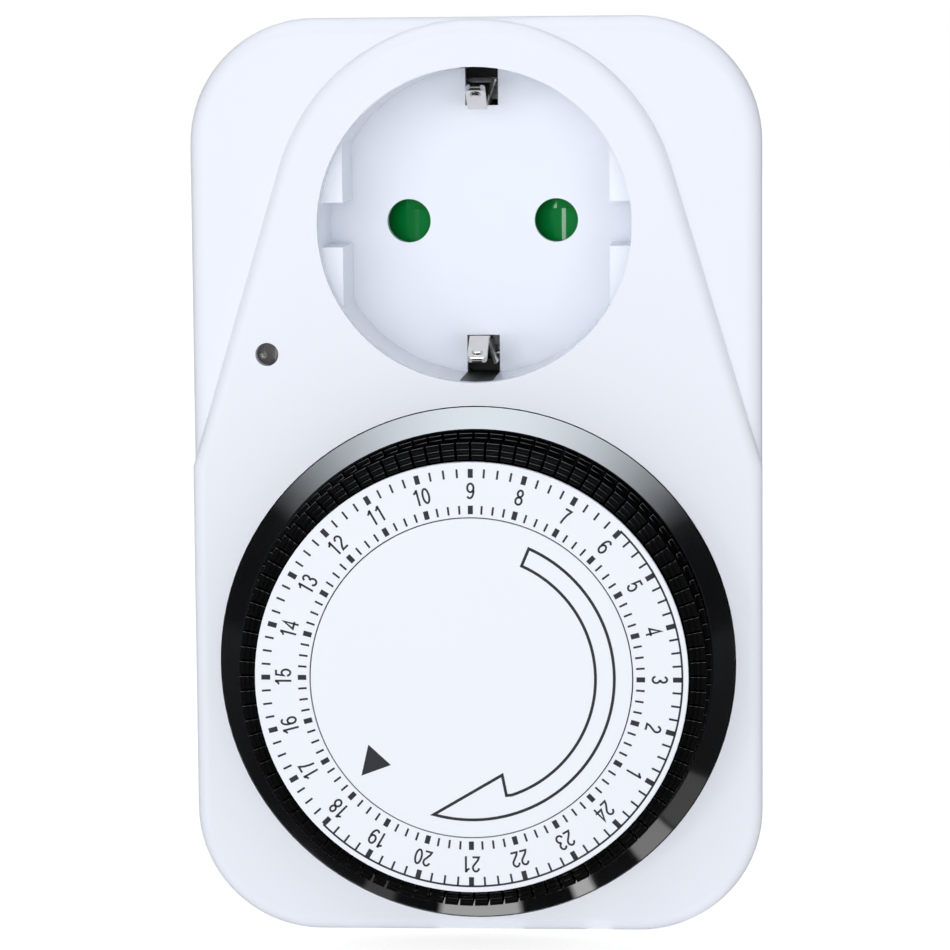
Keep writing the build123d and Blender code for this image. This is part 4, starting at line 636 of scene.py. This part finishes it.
# Each digit as strokes in a box half as wide as it is high
DIGITS = {
    "0": [arc(0.25, 0.5, 0.185, 0.44, 0, 360)],
    "1": [[(0.09, 0.76), (0.21, 0.83), (0.3, 0.97)], [(0.31, 0.0), (0.31, 1.0)]],
    "2": [arc(0.25, 0.72, 0.185, 0.22, 175, -32) + [(0.13, 0.24), (0.07, 0.065), (0.46, 0.065)]],
    "3": [arc(0.24, 0.735, 0.17, 0.205, 165, -90), arc(0.24, 0.28, 0.195, 0.22, 90, -170)],
    "4": [[(0.35, 0.0), (0.35, 0.93), (0.04, 0.29), (0.48, 0.29)]],
    "5": [[(0.43, 0.935), (0.14, 0.935), (0.085, 0.49)] + arc(0.25, 0.33, 0.195, 0.27, 132, -165)],
    "6": [arc(0.25, 0.315, 0.19, 0.26, 0, 360), arc(0.29, 0.5, 0.23, 0.44, 190, 48)],
    "7": [[(0.05, 0.935), (0.45, 0.935), (0.31, 0.62), (0.23, 0.3), (0.2, 0.0)]],
    "8": [arc(0.25, 0.735, 0.155, 0.2, 0, 360), arc(0.25, 0.28, 0.19, 0.22, 0, 360)],
    "9": [arc(0.25, 0.685, 0.19, 0.26, 0, 360), arc(0.21, 0.5, 0.23, 0.44, 10, -132)],
}


def numeral(bm, hour):
    """One number of the scale, its top outwards."""
    out = on_disc(1.0, hour_place(hour))
    across = Vector((out.y, -out.x))
    text = str(hour)
    left = -NUMERAL_PITCH * len(text) / 2
    for place, digit in enumerate(text):
        for path in DIGITS[digit]:
            line = []
            for x, y in path:
                side = left + NUMERAL_PITCH * place + (x + NUMERAL_SHIFT) * NUMERAL_HEIGHT
                line.append(out * (NUMERAL_RADIUS + (y - 0.5) * NUMERAL_HEIGHT) + across * side)
            stroke(bm, line, NUMERAL_STROKE)


def hour_scale():
    """The turning scale: two rows of marks, the numbers and the line for the night hours."""
    bm = bmesh.new()
    for quarter in range(HOURS * MARKS_PER_HOUR):
        angle = hour_place(TOP_HOUR) + quarter * HOUR / MARKS_PER_HOUR
        width = QUARTER_MARK_WIDTH if quarter % MARKS_PER_HOUR else HOUR_MARK_WIDTH
        mark(bm, angle, OUTER_MARKS, width)
        mark(bm, angle, INNER_MARKS, width)
    start, end = (hour_place(hour) for hour in NIGHT_HOURS)
    arc_band(bm, NIGHT_RADIUS, NIGHT_WIDTH, start, end)
    for hour in range(1, HOURS + 1):
        numeral(bm, hour)
    return object_from(bm, "hour_scale_print")


def turning_arrow():
    """Outlined arrow that shows which way the dial turns, and the filled time mark."""
    inner_tail = ARROW_TAIL + TAIL_SLANT
    line = [on_disc(ARROW_INNER, inner_tail), on_disc(ARROW_OUTER, ARROW_TAIL)]
    line += round_the_disc(ARROW_OUTER, ARROW_TAIL, ARROW_TIP, 60)
    line += [Vector(corner) for corner in HEAD_CORNERS]
    line += round_the_disc(ARROW_INNER, ARROW_BARB, inner_tail, 50)
    bm = bmesh.new()
    stroke(bm, line, ARROW_STROKE)
    flat_patch(bm, TIME_MARK)
    return object_from(bm, "arrow_print")


finish_piece(hour_scale(), INK, "dial")
finish_piece(turning_arrow(), INK, "case")


# ---------------------------------------------------------------------------
# Floor, light and camera
# ---------------------------------------------------------------------------
def mirror_only(n, ray):
    """1 for a mirror ray that comes straight from what the camera sees, without a diffuse bounce."""
    first = n.math("LESS_THAN", ray.outputs["Diffuse Depth"], 0.5)
    return n.math("MULTIPLY", ray.outputs["Is Glossy Ray"], first)


def band(n, place, low, high, blur, glow=1.0):
    """The glow between two places, faded out just inside each of them."""
    rise = n.remap(place, low, low + blur, 0.0, glow)
    return n.math("MULTIPLY", rise, n.remap(place, high - blur, high, 1.0, 0.0))


def floor_material():
    """Pale floor; mirror rays see it painted dark, with glowing strips on it that paint reflections.
    """
    material, n, shader = new_material("pale floor")
    place = n.place()
    ray = n.add("ShaderNodeLightPath")
    tone = n.remap(n.noise(place, 3.0, detail=2.0), 0.3, 0.7, 0.4, 0.42)
    dim = n.remap(ray.outputs["Is Glossy Ray"], 0, 1, 1.0, FLOOR_IN_GLOSS)
    n.link(n.mix(n.math("MULTIPLY", tone, dim), BLACK, WHITE), shader.inputs["Base Color"])
    set_shader(shader, Roughness=0.8, Specular_IOR_Level=0.1, Emission_Color=WHITE)
    axes = n.split(place)
    painted_glow = 0.0
    # painted reflections: glows on the floor that only mirror rays see
    for left, right, glow in PAINTED_REFLECTIONS:
        painted_glow = n.math("ADD", painted_glow, band(n, axes["X"], left, right, CARD_SIDE_BLUR, glow))
    painted_glow = n.math("MULTIPLY", painted_glow, band(n, axes["Y"], CARD_FRONT, CARD_BACK, CARD_END_BLUR))
    glow = n.remap(mirror_only(n, ray), 0, 1, FLOOR_BOUNCE, painted_glow)
    glow = n.remap(ray.outputs["Is Camera Ray"], 0, 1, glow, FLOOR_GLOW)
    n.link(glow, shader.inputs["Emission Strength"])
    return material


def lay_floor():
    bm = bmesh.new()
    bmesh.ops.create_grid(bm, x_segments=1, y_segments=1, size=FLOOR_HALF)
    bmesh.ops.translate(bm, verts=bm.verts, vec=(0, 0, cad_box[0].z - FLOOR_DROP))
    floor = object_from(bm, "floor")
    floor.data.materials.append(floor_material())


def fill_air():
    """Soft even light, and for reflections a dim room with a broad glowing panel overhead."""
    world = bpy.data.worlds.new("studio air")
    world.use_nodes = True
    bpy.context.scene.world = world
    n = Nodes(world.node_tree)
    air = world.node_tree.nodes["Background"]
    height = n.split(n.place("Generated"))["Z"]
    panel = n.math("POWER", n.remap(height, PANEL_LOW, PANEL_HIGH, 0.0, 1.0), PANEL_POWER)
    room = n.math("ADD", n.math("MULTIPLY", panel, PANEL_GLOW), ROOM_GLOW)
    ray = n.add("ShaderNodeLightPath")
    seen = n.math("MAXIMUM", ray.outputs["Is Camera Ray"], ray.outputs["Is Transmission Ray"])
    mirrored = n.remap(mirror_only(n, ray), 0, 1, SOFT_LIGHT, room)
    n.link(n.remap(seen, 0, 1, mirrored, 1.0), air.inputs["Strength"])
    n.link(n.mix(ray.outputs["Is Glossy Ray"], WHITE, ROOM_TINT), air.inputs["Color"])


def light(name, place, size, power, mirrored=False):
    """A soft rectangular lamp; one that isn't mirrored leaves no glare of its own."""
    lamp = bpy.data.lights.new(name, "AREA")
    lamp.shape = "RECTANGLE"
    lamp.size, lamp.size_y = size
    lamp.energy = power
    made = bpy.data.objects.new(name, lamp)
    made.location = place
    made.visible_glossy = mirrored
    made.rotation_mode = "QUATERNION"
    made.rotation_quaternion = (Vector(LAMP_TARGET) - Vector(place)).to_track_quat("-Z", "Y")
    bpy.context.scene.collection.objects.link(made)


def camera():
    """Long lens in front of the timer, a little to the right and looking slightly down."""
    lens = bpy.data.cameras.new("camera")
    lens.sensor_width = SENSOR_WIDTH
    lens.lens = LENS_LENGTH
    lens.clip_start, lens.clip_end = 0.02, 20.0
    made = bpy.data.objects.new("camera", lens)
    made.location = CAMERA_PLACE
    pan = Matrix.Rotation(CAMERA_PAN, 3, "Z")
    tilt = Matrix.Rotation(CAMERA_TILT, 3, "X")
    roll = Matrix.Rotation(CAMERA_ROLL, 3, "Y")
    turn = pan @ tilt @ roll
    right, ahead, up = turn.col[0], turn.col[1], turn.col[2]
    made.rotation_mode = "QUATERNION"
    made.rotation_quaternion = Matrix((right, up, -ahead)).transposed().to_quaternion()
    bpy.context.scene.collection.objects.link(made)
    bpy.context.scene.camera = made


lay_floor()
fill_air()
light("key", (-0.19, -0.97, -0.02), size=(0.5, 0.5), power=3.8)
light("fill", (0.20, -0.97, -0.06), size=(0.5, 0.35), power=2.9)
light("strip", (-0.48, -0.80, -0.03), size=(0.12, 0.12), power=0.45, mirrored=True)
camera()
bpy.context.scene.view_settings.view_transform = "Standard"
